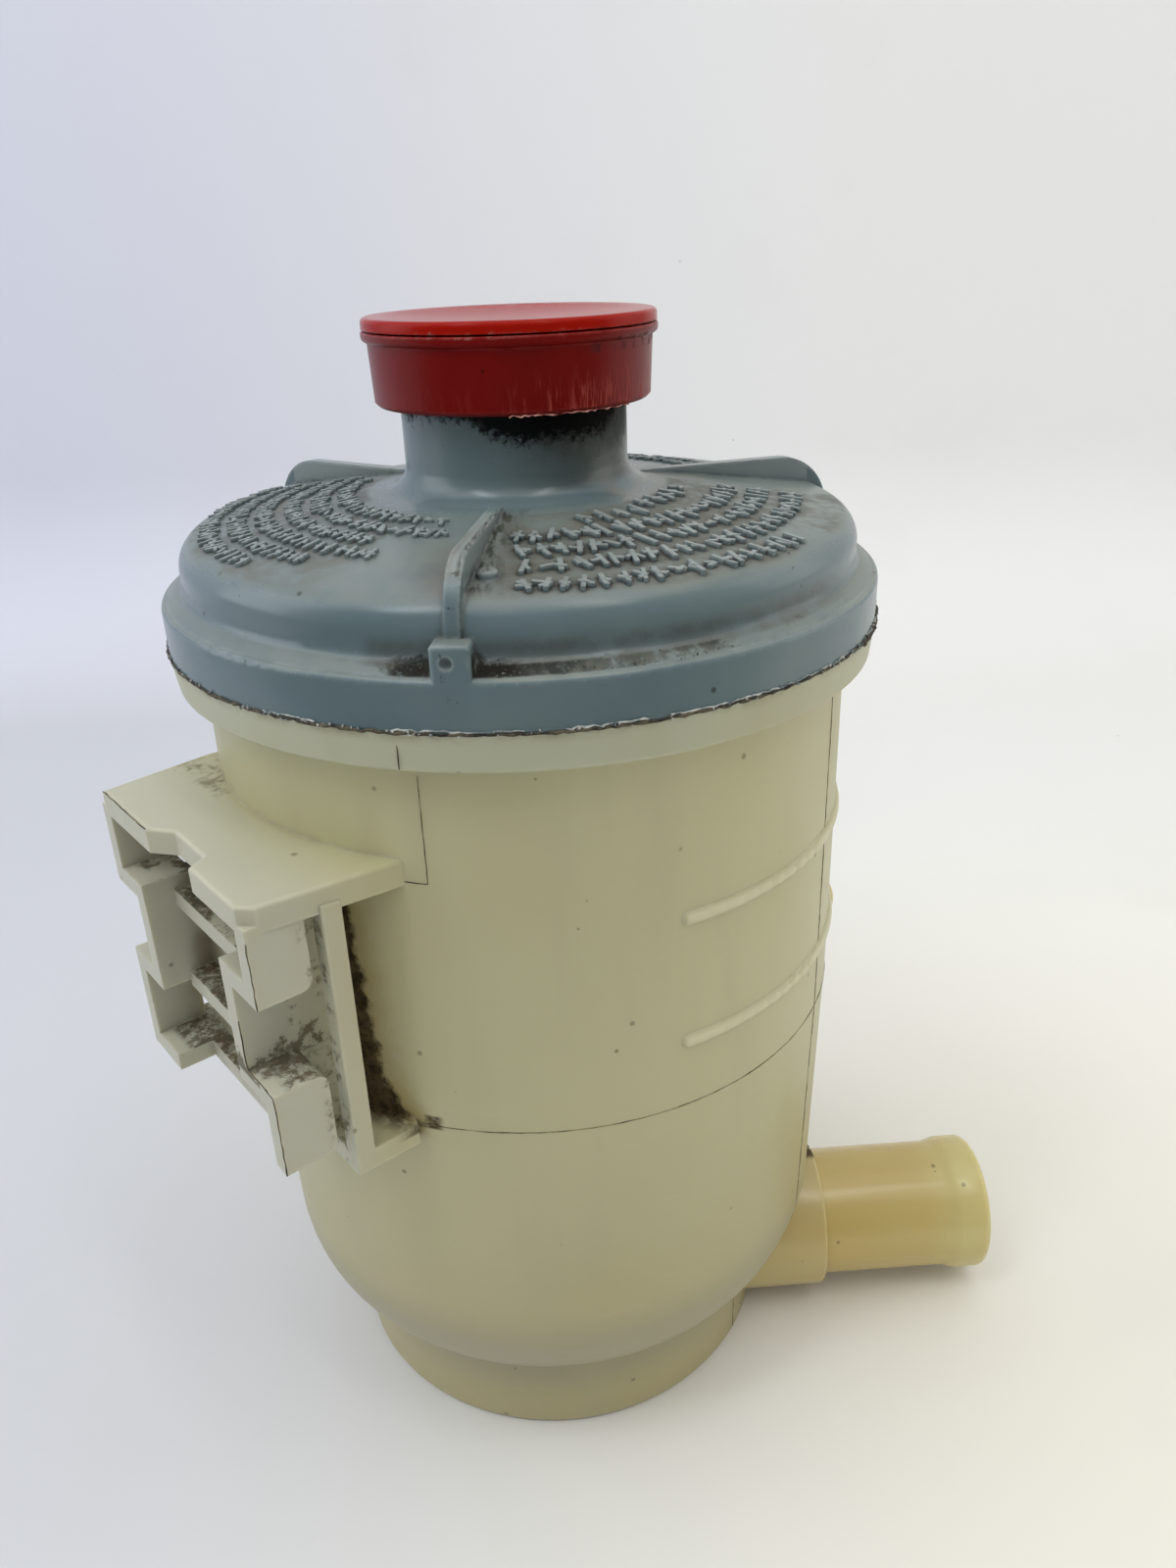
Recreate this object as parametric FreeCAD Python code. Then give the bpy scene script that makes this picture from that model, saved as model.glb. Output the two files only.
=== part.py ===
"""Power steering fluid reservoir: a moulded tank with a welded lid and a push-on cap.

All sizes are millimetres. The tank stands on the underside of its foot at z = 0, the
tank axis is Z and the suction pipe points along +X. Azimuths are degrees about Z from +X.
"""
import FreeCAD, Part
import math
import os

V = FreeCAD.Vector
AXIS_Z = V(0, 0, 1)
ORIGIN = V(0, 0, 0)

# Clearances
free_gap = 0.3
seat_gap = 0.05
slide_gap = 0.4

# How far a cutter runs past the face it cuts, and how deep a rib or post is rooted
overrun = 1.0
root = 0.5

# Tank shell
wall = 2.2
foot_radius = 32.7
foot_chamfer = 0.7
floor_thickness = 2.6
floor_chamfer = 1.5
bulge_radius = 18.4
bulge_top_z = 29.0
wall_radius = 41.9
wall_draft = 0.9
wall_low_radius = wall_radius - wall_draft
inside_low_radius = wall_low_radius - wall
inside_radius = wall_radius - wall
mould_line_z = 64.0
weld_z = 117.3
flange_height = 4.5
flange_low_z = weld_z - flange_height
flange_overhang = 3.6
flange_draft = 0.5
flange_radius = wall_radius + flange_overhang
flange_low_radius = flange_radius - flange_draft
flange_fillet = 0.8
flange_edge = 0.3

# Level marks on the tank wall
mark_heights = (73.5, 90.7)
mark_start_azimuth = -66.6
mark_end_azimuth = 12.0
mark_section_radius = 1.0
mark_proud = 0.6

# Suction pipe, along +X
suction_y = -6.0
suction_z = 11.8
suction_tube_radius = 9.85
suction_bore_radius = 7.5
suction_collar_radius = 11.3
suction_collar_edge = 0.6
suction_collar_length = 9.7
suction_tube_length = 20.0
suction_ramp_length = 2.2
suction_land_length = 3.3
suction_nose_length = 1.5
suction_land_radius = 10.45
suction_tip_radius = 9.2
suction_root_depth = 6.7
pipe_start_x = foot_radius - suction_root_depth
suction_collar_x = foot_radius + suction_collar_length
suction_ramp_x = suction_collar_x + suction_tube_length
suction_land_x = suction_ramp_x + suction_ramp_length
suction_land_end_x = suction_land_x + suction_land_length
suction_tip_x = suction_land_end_x + suction_nose_length

# Return pipe
return_azimuth = 36.0
return_z = 48.0
return_tube_radius = 4.45
return_bore_radius = 3.1
return_collar_radius = 6.6
return_land_radius = 5.15
return_tip_radius = 4.1
return_collar_length = 3.1
return_tube_length = 12.2
return_ramp_length = 1.8
return_land_length = 2.6
return_nose_length = 2.4
return_stub_length = 7.8
return_stub_reach = inside_low_radius - return_stub_length
return_collar_reach = wall_radius + return_collar_length
return_ramp_reach = return_collar_reach + return_tube_length
return_land_reach = return_ramp_reach + return_ramp_length
return_land_end_reach = return_land_reach + return_land_length
return_tip_reach = return_land_end_reach + return_nose_length

# Mounting bracket, set out as (outward, across, height)
bracket_azimuth = -144.0
bracket_wall = 2.5
panel_standoff = 4.1
panel_front = wall_radius + panel_standoff
panel_root = wall_radius - 7.9
tab_gap = 0.6
tab_back = panel_front + tab_gap
side_depth = 7.2
plate_front = panel_front + side_depth
plate_thickness = 3.2
plate_drop = 12.0
plate_top_z = flange_low_z - plate_drop
plate_low_z = plate_top_z - plate_thickness
plate_edge = 0.5
plate_left = -18.3
plate_right = 21.5
plate_flare_left = 2.0
plate_flare_right = 1.5
plate_corner = 1.6
plate_root = wall_radius - 11.9
plate_leaves_left = wall_radius - 3.4
plate_leaves_right = wall_radius - 6.2
notch_depth = 2.3
notch_across = (-4.0, -1.0, 7.0, 8.4)
upper_step_drop = 8.9
lower_step_drop = 13.9
lower_tab_drop = 12.8
upper_step_z = plate_low_z - upper_step_drop
lower_step_z = upper_step_z - lower_step_drop
bracket_low_z = lower_step_z - lower_tab_drop
left_step_drop = 1.0
right_tab_rise = 4.2
web_inset = 6.4
right_tab_outer = plate_right
left_tab_outer = 1.3 - plate_left
right_web_outer = right_tab_outer - web_inset
left_web_outer = left_tab_outer - web_inset
tab_corner = 1.5
rung_thickness = 2.4
rung_front = plate_front - 3.8
upper_rung_drop = 0.3
middle_rung_rise = 1.2
low_rung_front = rung_front - 1.0
catch_height = 5.0
catch_width = 2.2
catch_thickness = 2.2
catch_inset = 0.8
post_side = 2.4
post_outer = plate_right + 1.0
post_front = panel_front - 1.0
shelf_thickness = 2.8
shelf_rise = 2.6
shelf_top_z = bracket_low_z + shelf_rise
shelf_low_z = shelf_top_z - shelf_thickness
shelf_leaves_right = wall_radius - 5.3

# Lid
lid_wall = 2.3
weld_step = 0.1
skirt_radius = flange_radius - weld_step
skirt_height = 4.8
skirt_top_z = weld_z + skirt_height
skirt_edge = 0.8
skirt_wall = 2.6
spigot_gap = 0.35
spigot_radius = inside_radius - spigot_gap
spigot_wall = 2.1
spigot_depth = 2.7
spigot_low_z = weld_z - spigot_depth
shoulder_width = 2.8
cove_radius = 1.0
dome_wall_radius = skirt_radius - shoulder_width
dome_wall_height = 4.2
dome_wall_top_z = skirt_top_z + dome_wall_height
dome_rim_inset = 2.4
dome_rim_radius = dome_wall_radius - dome_rim_inset
dome_rim_rise = 3.7
dome_rim_z = dome_wall_top_z + dome_rim_rise
dome_rise = 3.3
dome_root_z = dome_rim_z + dome_rise

# Filler neck
neck_radius = 13.95
neck_foot_spread = 3.25
dome_root_radius = neck_radius + neck_foot_spread
neck_foot_height = 3.0
neck_root_z = dome_root_z + neck_foot_height
neck_height = 11.6
neck_top_z = neck_root_z + neck_height
neck_bead_proud = 0.35
neck_bead_radius = neck_radius + neck_bead_proud
neck_bead_height = 1.6
neck_edge = 0.6
neck_wall = 2.15
neck_bore_radius = neck_radius - neck_wall
neck_ledge_rise = 2.7
neck_ledge_z = neck_root_z + neck_ledge_rise
neck_ledge_width = 0.9
neck_ledge_radius = neck_bore_radius - neck_ledge_width

# Ribs, blocks and pip on the lid
fin_azimuths = (-99.7, 13.5, 142.5)
fin_thickness = 1.7
fin_rise = 0.2
fin_top_z = dome_root_z + fin_rise
fin_corner_length = 3.6
fin_corner_radius = dome_rim_radius - fin_corner_length
fin_end_proud = 0.6
fin_end_radius = dome_wall_radius + fin_end_proud
block_width = 4.1
block_height = 4.3
block_top_z = skirt_top_z + block_height
block_root = 1.6
block_back_radius = dome_wall_radius - block_root
block_edge = 0.55
dimple_radius = 0.65
dimple_drop = 1.8
dimple_z = block_top_z - dimple_drop
dimple_offset = -0.35
pip_azimuth = -95.9
pip_inset = 4.4
pip_reach = dome_rim_radius - pip_inset
pip_radius = 1.15
pip_height = 0.7
pip_edge = 0.35

# Cap
cap_wall = 2.25
cap_overlap = 4.4
cap_skirt_low_z = neck_top_z - cap_overlap
cap_skirt_height = 7.2
cap_skirt_top_z = cap_skirt_low_z + cap_skirt_height
cap_bore_radius = neck_bead_radius + slide_gap
cap_skirt_low_radius = cap_bore_radius + cap_wall
cap_skirt_draft = 0.3
cap_skirt_radius = cap_skirt_low_radius + cap_skirt_draft
cap_hem = 0.4
cap_ring_proud = 0.65
cap_ring_radius = cap_skirt_radius + cap_ring_proud
cap_ring_flare = 0.6
cap_ring_z = cap_skirt_top_z + cap_ring_flare
cap_ring_thickness = 0.65
cap_ring_top_z = cap_ring_z + cap_ring_thickness
cap_ring_edge = 0.15
cap_disc_radius = cap_ring_radius - 0.1
cap_groove = 0.2
cap_disc_low_z = cap_ring_top_z + cap_groove
cap_disc_thickness = 1.35
cap_top_z = cap_disc_low_z + cap_disc_thickness
cap_disc_edge = 0.6
cap_disc_seat_width = 1.2
cap_rim_width = 2.0
cap_dish_depth = 1.1
cap_dish_flat = 4.0
cap_seal_thickness = 1.4
cap_recess_inset = 3.6
cap_recess_radius = cap_disc_radius - cap_recess_inset
cap_recess_depth = 1.05
cap_recess_z = cap_ring_top_z - cap_recess_depth
cap_roof = 0.6
plug_wall = 2.0
plug_radius = neck_bore_radius - slide_gap
plug_bore_radius = plug_radius - plug_wall
plug_stand = 2.0
plug_low_z = neck_ledge_z + plug_stand
plug_lead = 0.8
vent_pad_radius = 6.0
vent_pad_depth = 0.9
vent_hole_radius = 1.2
splash_plate_thickness = 1.2
splash_plate_inset = 0.8
splash_plate_z = plug_low_z + splash_plate_inset
splash_plate_seat = 0.5
splash_hole_radius = 1.0
splash_hole_reach = 5.6
splash_holes = 6

# Neck screen
neck_screen_rim_thickness = 1.2
neck_screen_radius = neck_ledge_radius - slide_gap
neck_screen_wall = 1.4
neck_screen_depth = 21.5
neck_screen_low_z = neck_ledge_z - neck_screen_depth
neck_screen_windows = 4
neck_screen_window_width = 10.8
neck_screen_window_margin = 3.0
mesh_thickness = 0.4

# Splash baffle under the lid
baffle_margin = 7.25
baffle_radius = spigot_radius - spigot_wall - baffle_margin
baffle_thickness = 1.6
baffle_drop = 6.7
baffle_top_z = weld_z - baffle_drop
baffle_rim_width = 1.6
baffle_rim_depth = 3.0
baffle_hole_radius = 4.0
baffle_hole_reach = 16.0
baffle_holes = 6
baffle_first_hole = 20.0
baffle_posts = 3
baffle_first_post = 80.0
baffle_post_inset = 7.0
baffle_post_reach = baffle_radius - baffle_post_inset
baffle_post_radius = 3.0
baffle_pin_radius = 2.0
baffle_head = 1.4
baffle_pin_low_z = baffle_top_z - baffle_thickness - baffle_head

# Bottom screen
screen_seat_rise = 4.0
screen_seat_z = bulge_top_z + screen_seat_rise
screen_radius = inside_low_radius - free_gap
screen_seat_width = 2.5
screen_seat_radius = screen_radius - screen_seat_width
screen_ring_width = 3.4
screen_ring_thickness = 1.6
screen_hub_radius = 6.0
screen_spokes = 6
screen_spoke_width = 2.4
screen_pin_radius = 1.0
screen_pin_head = 0.4
screen_lugs = 4
screen_first_lug = 45.0
screen_lug_width = 6.0
screen_lug_height = 1.4

# Return diffuser
diffuser_wall = 1.9
diffuser_length = 7.0
diffuser_grip = 5.6
diffuser_end_reach = return_stub_reach - diffuser_length
diffuser_open_reach = return_stub_reach + diffuser_grip
diffuser_slots = 4
diffuser_slot_length = 3.0
diffuser_slot_width = 2.0
diffuser_flow_gap = 0.2

# Sump magnet
magnet_radius = 8.0
magnet_thickness = 3.6
magnet_peg_radius = 3.0
magnet_peg_head_radius = 4.2
magnet_peg_head = 1.2
magnet_peg_edge = 0.5


def lathe(start, steps, turn=360.0):
    """Turn a closed (radius, height) outline about Z; four numbers are an arc end and its middle."""
    first = V(start[0], 0, start[1])
    here = first
    edges = []
    for step in steps:
        there = V(step[0], 0, step[1])
        if len(step) == 4:
            middle = V(step[2], 0, step[3])
            edges.append(Part.Arc(here, middle, there).toShape())
        else:
            edges.append(Part.makeLine(here, there))
        here = there
    edges.append(Part.makeLine(here, first))
    return Part.Face(Part.Wire(edges)).revolve(ORIGIN, AXIS_Z, turn)


def turned_to(shape, azimuth):
    """A copy of the shape turned about the tank axis."""
    copy = shape.copy()
    copy.rotate(ORIGIN, AXIS_Z, azimuth)
    return copy


def spread(count, first=0.0):
    """Evenly spaced azimuths."""
    return [first + 360.0 * i / count for i in range(count)]


def polar(reach, azimuth, z=0.0):
    """The point at a reach from the tank axis."""
    angle = math.radians(azimuth)
    return V(reach * math.cos(angle), reach * math.sin(angle), z)


def tube(outer, inner, low, top):
    """A ring about the tank axis."""
    ring = Part.makeCylinder(outer, top - low, V(0, 0, low))
    bore = Part.makeCylinder(inner, top - low + 2 * overrun, V(0, 0, low - overrun))
    return ring.cut(bore)


def slab(outward, across, heights):
    """A box from three (low, high) pairs."""
    corner = V(outward[0], across[0], heights[0])
    return Part.makeBox(outward[1] - outward[0], across[1] - across[0], heights[1] - heights[0], corner)


def prism(points, low, top):
    """A flat outline of (x, y) points raised from low to top."""
    corners = [V(x, y, low) for x, y in points]
    outline = Part.makePolygon(corners + corners[:1])
    return Part.Face(outline).extrude(V(0, 0, top - low))


def softened(shape, radius, keep):
    """The shape with every edge that passes the test rounded."""
    edges = [edge for edge in shape.Edges if keep(edge)]
    return shape.makeFillet(radius, edges)


def upright(edge):
    """True for an edge that runs straight up."""
    ends = edge.Vertexes
    if len(ends) != 2:
        return False
    run = ends[1].Point.sub(ends[0].Point)
    return abs(run.z) > 0.99 * run.Length


def arc_wall_radius(centre, radius, z):
    """Radius of the bulge arc at a height below its top."""
    return centre + math.sqrt(radius ** 2 - (bulge_top_z - z) ** 2)


def tank_outer():
    """The solid outside of the tank, foot to weld line."""
    centre = wall_low_radius - bulge_radius
    foot_top_z = bulge_top_z - math.sqrt(bulge_radius ** 2 - (foot_radius - centre) ** 2)
    middle_z = (foot_top_z + bulge_top_z) / 2
    middle_radius = arc_wall_radius(centre, bulge_radius, middle_z)
    arc_point = 0.3 * flange_fillet
    return lathe((0, 0), [
        (foot_radius - foot_chamfer, 0),
        (foot_radius, foot_chamfer),
        (foot_radius, foot_top_z),
        (wall_low_radius, bulge_top_z, middle_radius, middle_z),
        (wall_radius, mould_line_z),
        (wall_radius, flange_low_z - flange_fillet),
        (wall_radius + flange_fillet, flange_low_z, wall_radius + arc_point, flange_low_z - arc_point),
        (flange_low_radius - flange_edge, flange_low_z),
        (flange_low_radius, flange_low_z + flange_edge),
        (flange_radius, weld_z),
        (0, weld_z),
    ])


def tank_cavity():
    """The space inside the tank, with the seat for the bottom screen."""
    centre = wall_low_radius - bulge_radius
    inner_bulge = bulge_radius - wall
    sump_radius = foot_radius - wall
    sump_top_z = bulge_top_z - math.sqrt(inner_bulge ** 2 - (sump_radius - centre) ** 2)
    reach = sump_top_z + 0.8 * (bulge_top_z - sump_top_z)
    middle_z = (sump_top_z + reach) / 2
    reach_radius = min(arc_wall_radius(centre, inner_bulge, reach), screen_seat_radius)
    middle_radius = min(arc_wall_radius(centre, inner_bulge, middle_z), screen_seat_radius - overrun)
    return lathe((0, floor_thickness), [
        (sump_radius - floor_chamfer, floor_thickness),
        (sump_radius, floor_thickness + floor_chamfer),
        (sump_radius, sump_top_z),
        (reach_radius, reach, middle_radius, middle_z),
        (screen_seat_radius, screen_seat_z),
        (inside_low_radius, screen_seat_z),
        (inside_radius, mould_line_z),
        (inside_radius, weld_z + overrun),
        (0, weld_z + overrun),
    ])


def level_mark(z):
    """A half-round level line with rounded ends."""
    centre = wall_radius + mark_proud - mark_section_radius
    section = Part.makeTorus(centre, mark_section_radius, ORIGIN, AXIS_Z, 0, 360,
                             mark_end_azimuth - mark_start_azimuth)
    line = turned_to(section, mark_start_azimuth)
    line.translate(V(0, 0, z))
    for azimuth in (mark_start_azimuth, mark_end_azimuth):
        line = line.fuse(Part.makeSphere(mark_section_radius, polar(centre, azimuth, z)))
    return line


def hose_pipe(tube_radius, land_radius, tip_radius, start, ramp, land, land_end, tip):
    """A hose pipe along +X from the origin axis, with one rounded barb."""
    shoulder = land_radius - 0.25
    body = lathe((0, start), [
        (tube_radius, start),
        (tube_radius, ramp),
        (land_radius, land, shoulder, ramp + 0.6 * (land - ramp)),
        (land_radius, land_end),
        (tip_radius, tip, shoulder - 0.25, land_end + 0.75 * (tip - land_end)),
        (0, tip),
    ])
    body.rotate(ORIGIN, V(0, 1, 0), 90)
    return body


def suction_pipe():
    """The suction pipe with the boss it leaves, run on into the tank."""
    pipe = hose_pipe(suction_tube_radius, suction_land_radius, suction_tip_radius, pipe_start_x,
                     suction_ramp_x, suction_land_x, suction_land_end_x, suction_tip_x)
    boss = Part.makeCylinder(suction_collar_radius, suction_collar_x - pipe_start_x,
                             V(pipe_start_x, 0, 0), V(1, 0, 0))
    boss = softened(boss, suction_collar_edge, lambda edge: edge.BoundBox.XMin > suction_collar_x - 0.1)
    pipe = pipe.fuse(boss)
    pipe.translate(V(0, suction_y, suction_z))
    return pipe


def suction_bore():
    """The cutter for the suction pipe's bore."""
    return Part.makeCylinder(suction_bore_radius, suction_tip_x + overrun - pipe_start_x,
                             V(pipe_start_x, suction_y, suction_z), V(1, 0, 0))


def along_return(radius, start, end):
    """A round bar on the return pipe's axis."""
    bar = Part.makeCylinder(radius, end - start, V(start, 0, return_z), V(1, 0, 0))
    return turned_to(bar, return_azimuth)


def return_pipe():
    """The return pipe with its stub inside the tank, before its bore."""
    pipe = hose_pipe(return_tube_radius, return_land_radius, return_tip_radius, return_stub_reach,
                     return_ramp_reach, return_land_reach, return_land_end_reach, return_tip_reach)
    pipe.translate(V(0, 0, return_z))
    return turned_to(pipe, return_azimuth)


def bracket_plate():
    """The top plate with its notched front edge and flared root."""
    notch_start, floor_start, floor_end, notch_end = notch_across
    notch_front = plate_front - notch_depth
    root_left = plate_left - plate_flare_left
    root_right = plate_right + plate_flare_right
    outline = [
        (plate_root, root_left + overrun), (plate_leaves_left, root_left), (plate_front, plate_left),
        (plate_front, notch_start), (notch_front, floor_start), (notch_front, floor_end),
        (plate_front, notch_end), (plate_front, plate_right - plate_corner),
        (plate_front - plate_corner, plate_right), (plate_leaves_right, root_right),
        (plate_root, root_right),
    ]
    plate = prism(outline, plate_low_z, plate_top_z)
    return softened(plate, plate_edge, lambda edge: edge.BoundBox.ZMin > plate_top_z - 0.1
                    and edge.BoundBox.XMax > plate_leaves_left - 1.5)


def folded_side(tab_outer, web_outer, low_z, step_z, side):
    """One side wall, a strip folded like a Z: tab, step in, web, step out, tab."""
    top = plate_low_z + overrun
    tab_inner = tab_outer - bracket_wall
    web_inner = web_outer - bracket_wall
    upper = step_z + bracket_wall
    lower = lower_step_z + bracket_wall
    outline = [
        (tab_inner, top), (tab_outer, top), (tab_outer, step_z), (web_outer, step_z), (web_outer, lower),
        (tab_outer, lower), (tab_outer, low_z), (tab_inner, low_z), (tab_inner, lower_step_z),
        (web_inner, lower_step_z), (web_inner, upper), (tab_inner, upper),
    ]
    corners = [V(tab_back, side * across, z) for across, z in outline]
    strip = Part.Face(Part.makePolygon(corners + corners[:1])).extrude(V(side_depth - tab_gap, 0, 0))
    strip = softened(strip, tab_corner, lambda edge: edge.BoundBox.XMax < tab_back + 0.1
                     and edge.BoundBox.YLength > 1.0
                     and (edge.BoundBox.ZMax < low_z + 0.1 or abs(edge.BoundBox.ZMin - step_z) < 0.1
                          or abs(edge.BoundBox.ZMax - lower) < 0.1))
    web = slab((panel_front - bracket_wall, tab_back + overrun),
               sorted((side * web_inner, side * web_outer)), (lower_step_z, upper))
    return strip.fuse(web)


def rung(front, top):
    """A ledge across the channel."""
    inner_left = bracket_wall - left_web_outer
    inner_right = right_web_outer - bracket_wall
    return slab((panel_front - overrun, front), (inner_left - root, inner_right + root),
                (top - rung_thickness, top))


def bracket():
    """The whole bracket, run on into the tank wall."""
    tall = (bracket_low_z, plate_low_z + overrun)
    lug_top = bracket_low_z + rung_thickness
    catch_low = bracket_low_z + right_tab_rise
    pieces = [
        slab((panel_front - bracket_wall, panel_front), (-left_web_outer, right_web_outer), tall),
        slab((panel_root, panel_front), (-left_web_outer, bracket_wall - left_web_outer), tall),
        slab((panel_root, panel_front), (right_web_outer - bracket_wall, right_web_outer), tall),
        folded_side(right_tab_outer, right_web_outer, catch_low, upper_step_z, 1),
        folded_side(left_tab_outer, left_web_outer, bracket_low_z, upper_step_z - left_step_drop, -1),
        rung(rung_front, upper_step_z - upper_rung_drop),
        rung(rung_front, lower_step_z + middle_rung_rise),
        rung(low_rung_front, lug_top),
        slab((panel_front - overrun, plate_front), (-left_tab_outer, bracket_wall - left_web_outer),
             (bracket_low_z, lug_top)),
        slab((plate_front - catch_inset - catch_thickness, plate_front - catch_inset),
             (right_tab_outer - bracket_wall - catch_width, right_tab_outer - bracket_wall + root),
             (catch_low, catch_low + catch_height)),
        slab((post_front - post_side, post_front), (post_outer - post_side, post_outer),
             (shelf_low_z + root, plate_low_z + overrun)),
        prism([(panel_root, right_web_outer - 2.0), (post_front, right_web_outer - 2.0),
               (post_front, post_outer), (shelf_leaves_right, post_outer)], shelf_low_z, shelf_top_z),
    ]
    return turned_to(bracket_plate().fuse(pieces), bracket_azimuth)


def screen_lug():
    """One small catch that holds the bottom screen down."""
    low = screen_seat_z + 2 * screen_ring_thickness + mesh_thickness
    return slab((screen_radius - root, inside_low_radius + root + free_gap),
                (-screen_lug_width / 2, screen_lug_width / 2), (low, low + screen_lug_height))


def magnet_peg():
    """The peg in the sump whose end is closed over the magnet."""
    top = floor_thickness + magnet_thickness
    peg = Part.makeCylinder(magnet_peg_radius, magnet_thickness + root, V(0, 0, floor_thickness - root))
    head = Part.makeCylinder(magnet_peg_head_radius, magnet_peg_head, V(0, 0, top))
    head = softened(head, magnet_peg_edge, lambda edge: edge.BoundBox.ZMin > top + magnet_peg_head - 0.1)
    return peg.fuse(head)


def tank_body():
    """The tank moulding: wall, level marks, bracket and both pipes in one piece."""
    return_boss = along_return(return_collar_radius, inside_low_radius, return_collar_reach)
    outside = [bracket(), suction_pipe(), return_boss]
    outside += [level_mark(z) for z in mark_heights]
    body = tank_outer().fuse(outside).cut(tank_cavity())
    inside = [turned_to(screen_lug(), azimuth) for azimuth in spread(screen_lugs, screen_first_lug)]
    inside += [magnet_peg(), return_pipe()]
    return_bore = along_return(return_bore_radius, return_stub_reach - overrun, return_tip_reach + overrun)
    return body.fuse(inside).cut([suction_bore(), return_bore]).removeSplitter()


def lid_shell():
    """Skirt, shoulder and dome, up to the root of the neck."""
    shoulder_z = skirt_top_z + 2 * skirt_edge
    skirt_inner = skirt_radius - skirt_wall
    spigot_inner = spigot_radius - spigot_wall
    return lathe((spigot_inner, spigot_low_z), [
        (spigot_radius, spigot_low_z),
        (spigot_radius, weld_z),
        (skirt_radius, weld_z),
        (skirt_radius, skirt_top_z),
        (skirt_radius - skirt_edge, skirt_top_z + skirt_edge,
         skirt_radius - 0.28 * skirt_edge, skirt_top_z + 0.72 * skirt_edge),
        (dome_wall_radius + cove_radius, shoulder_z),
        (dome_wall_radius, shoulder_z + 1.4 * cove_radius,
         dome_wall_radius + 0.25 * cove_radius, shoulder_z + 0.5 * cove_radius),
        (dome_wall_radius, dome_wall_top_z),
        (dome_rim_radius, dome_rim_z,
         dome_wall_radius - 0.27 * dome_rim_inset, dome_wall_top_z + 0.635 * dome_rim_rise),
        (dome_root_radius, dome_root_z),
        (neck_radius, neck_root_z,
         neck_radius + 0.28 * neck_foot_spread, dome_root_z + 0.33 * neck_foot_height),
        (neck_ledge_radius, neck_root_z),
        (neck_ledge_radius, dome_root_z - lid_wall),
        (dome_root_radius, dome_root_z - lid_wall),
        (dome_rim_radius - root, dome_rim_z - lid_wall),
        (dome_wall_radius - lid_wall, dome_wall_top_z - 0.4 * dome_rim_rise),
        (skirt_inner, skirt_top_z - root),
        (skirt_inner, weld_z + lid_wall),
        (spigot_inner, weld_z + lid_wall),
    ])


def filler_neck():
    """The neck above the dome, with the ledge for the screen and the outer bead."""
    return lathe((neck_ledge_radius, neck_root_z), [
        (neck_radius, neck_root_z),
        (neck_radius, neck_top_z - neck_bead_height - neck_edge),
        (neck_bead_radius, neck_top_z - neck_bead_height),
        (neck_bead_radius, neck_top_z - neck_edge),
        (neck_radius - neck_bead_proud / 2, neck_top_z),
        (neck_bore_radius + neck_edge, neck_top_z),
        (neck_bore_radius, neck_top_z - neck_edge),
        (neck_bore_radius, neck_ledge_z),
        (neck_ledge_radius, neck_ledge_z),
    ])


def lid_fin():
    """One radial rib with a rounded outer corner, along +X."""
    low_z = dome_root_z - overrun
    fin_start = neck_radius - root
    shoulder_z = skirt_top_z + root
    turn_start = V(fin_corner_radius, 0, fin_top_z)
    turn_end = V(fin_end_radius - free_gap, 0, dome_rim_z - 0.45 * fin_corner_length)
    turn_middle = V(fin_corner_radius + 0.65 * (turn_end.x - turn_start.x), 0,
                    fin_top_z - 0.32 * (turn_start.z - turn_end.z))
    corners = [turn_end, V(fin_end_radius, 0, shoulder_z), V(dome_rim_radius, 0, shoulder_z),
               V(dome_rim_radius - overrun, 0, dome_rim_z - overrun), V(fin_start, 0, low_z),
               V(fin_start, 0, fin_top_z), turn_start]
    edges = [Part.makeLine(here, there) for here, there in zip(corners, corners[1:])]
    edges.append(Part.Arc(turn_start, turn_middle, turn_end).toShape())
    fin = Part.Face(Part.Wire(edges)).extrude(V(0, fin_thickness, 0))
    fin.translate(V(0, -fin_thickness / 2, 0))
    return fin


def lid_block():
    """The block at the foot of a rib, flush with the skirt, with its dimple."""
    front = skirt_radius - seat_gap
    block = slab((block_back_radius, front), (-block_width / 2, block_width / 2),
                 (skirt_top_z - root, block_top_z))
    block = softened(block, block_edge, lambda edge: edge.BoundBox.ZMin > block_top_z - 0.1
                     or (upright(edge) and edge.BoundBox.XMin > front - 0.1))
    dimple = Part.makeSphere(dimple_radius, V(front + seat_gap, dimple_offset, dimple_z))
    return block.cut(dimple)


def pip():
    """The small round pip beside the front rib."""
    slope = (dome_root_z - dome_rim_z) / (dome_rim_radius - dome_root_radius)
    base_z = dome_rim_z + slope * (dome_rim_radius - pip_reach) - root
    height = pip_height + root
    button = Part.makeCylinder(pip_radius, height, polar(pip_reach, pip_azimuth, base_z))
    return softened(button, pip_edge, lambda edge: edge.BoundBox.ZMin > base_z + height - 0.1)


def baffle_post():
    """A post under the lid, with its pin closed over below the baffle."""
    top = dome_root_z - lid_wall + root
    post = Part.makeCylinder(baffle_post_radius, top - baffle_top_z, V(baffle_post_reach, 0, baffle_top_z))
    pin = Part.makeCylinder(baffle_pin_radius, baffle_top_z - baffle_pin_low_z + root,
                            V(baffle_post_reach, 0, baffle_pin_low_z))
    head_top = baffle_top_z - baffle_thickness
    head = Part.makeCylinder(baffle_post_radius, head_top - baffle_pin_low_z,
                             V(baffle_post_reach, 0, baffle_pin_low_z))
    return post.fuse([pin, head])


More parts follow.
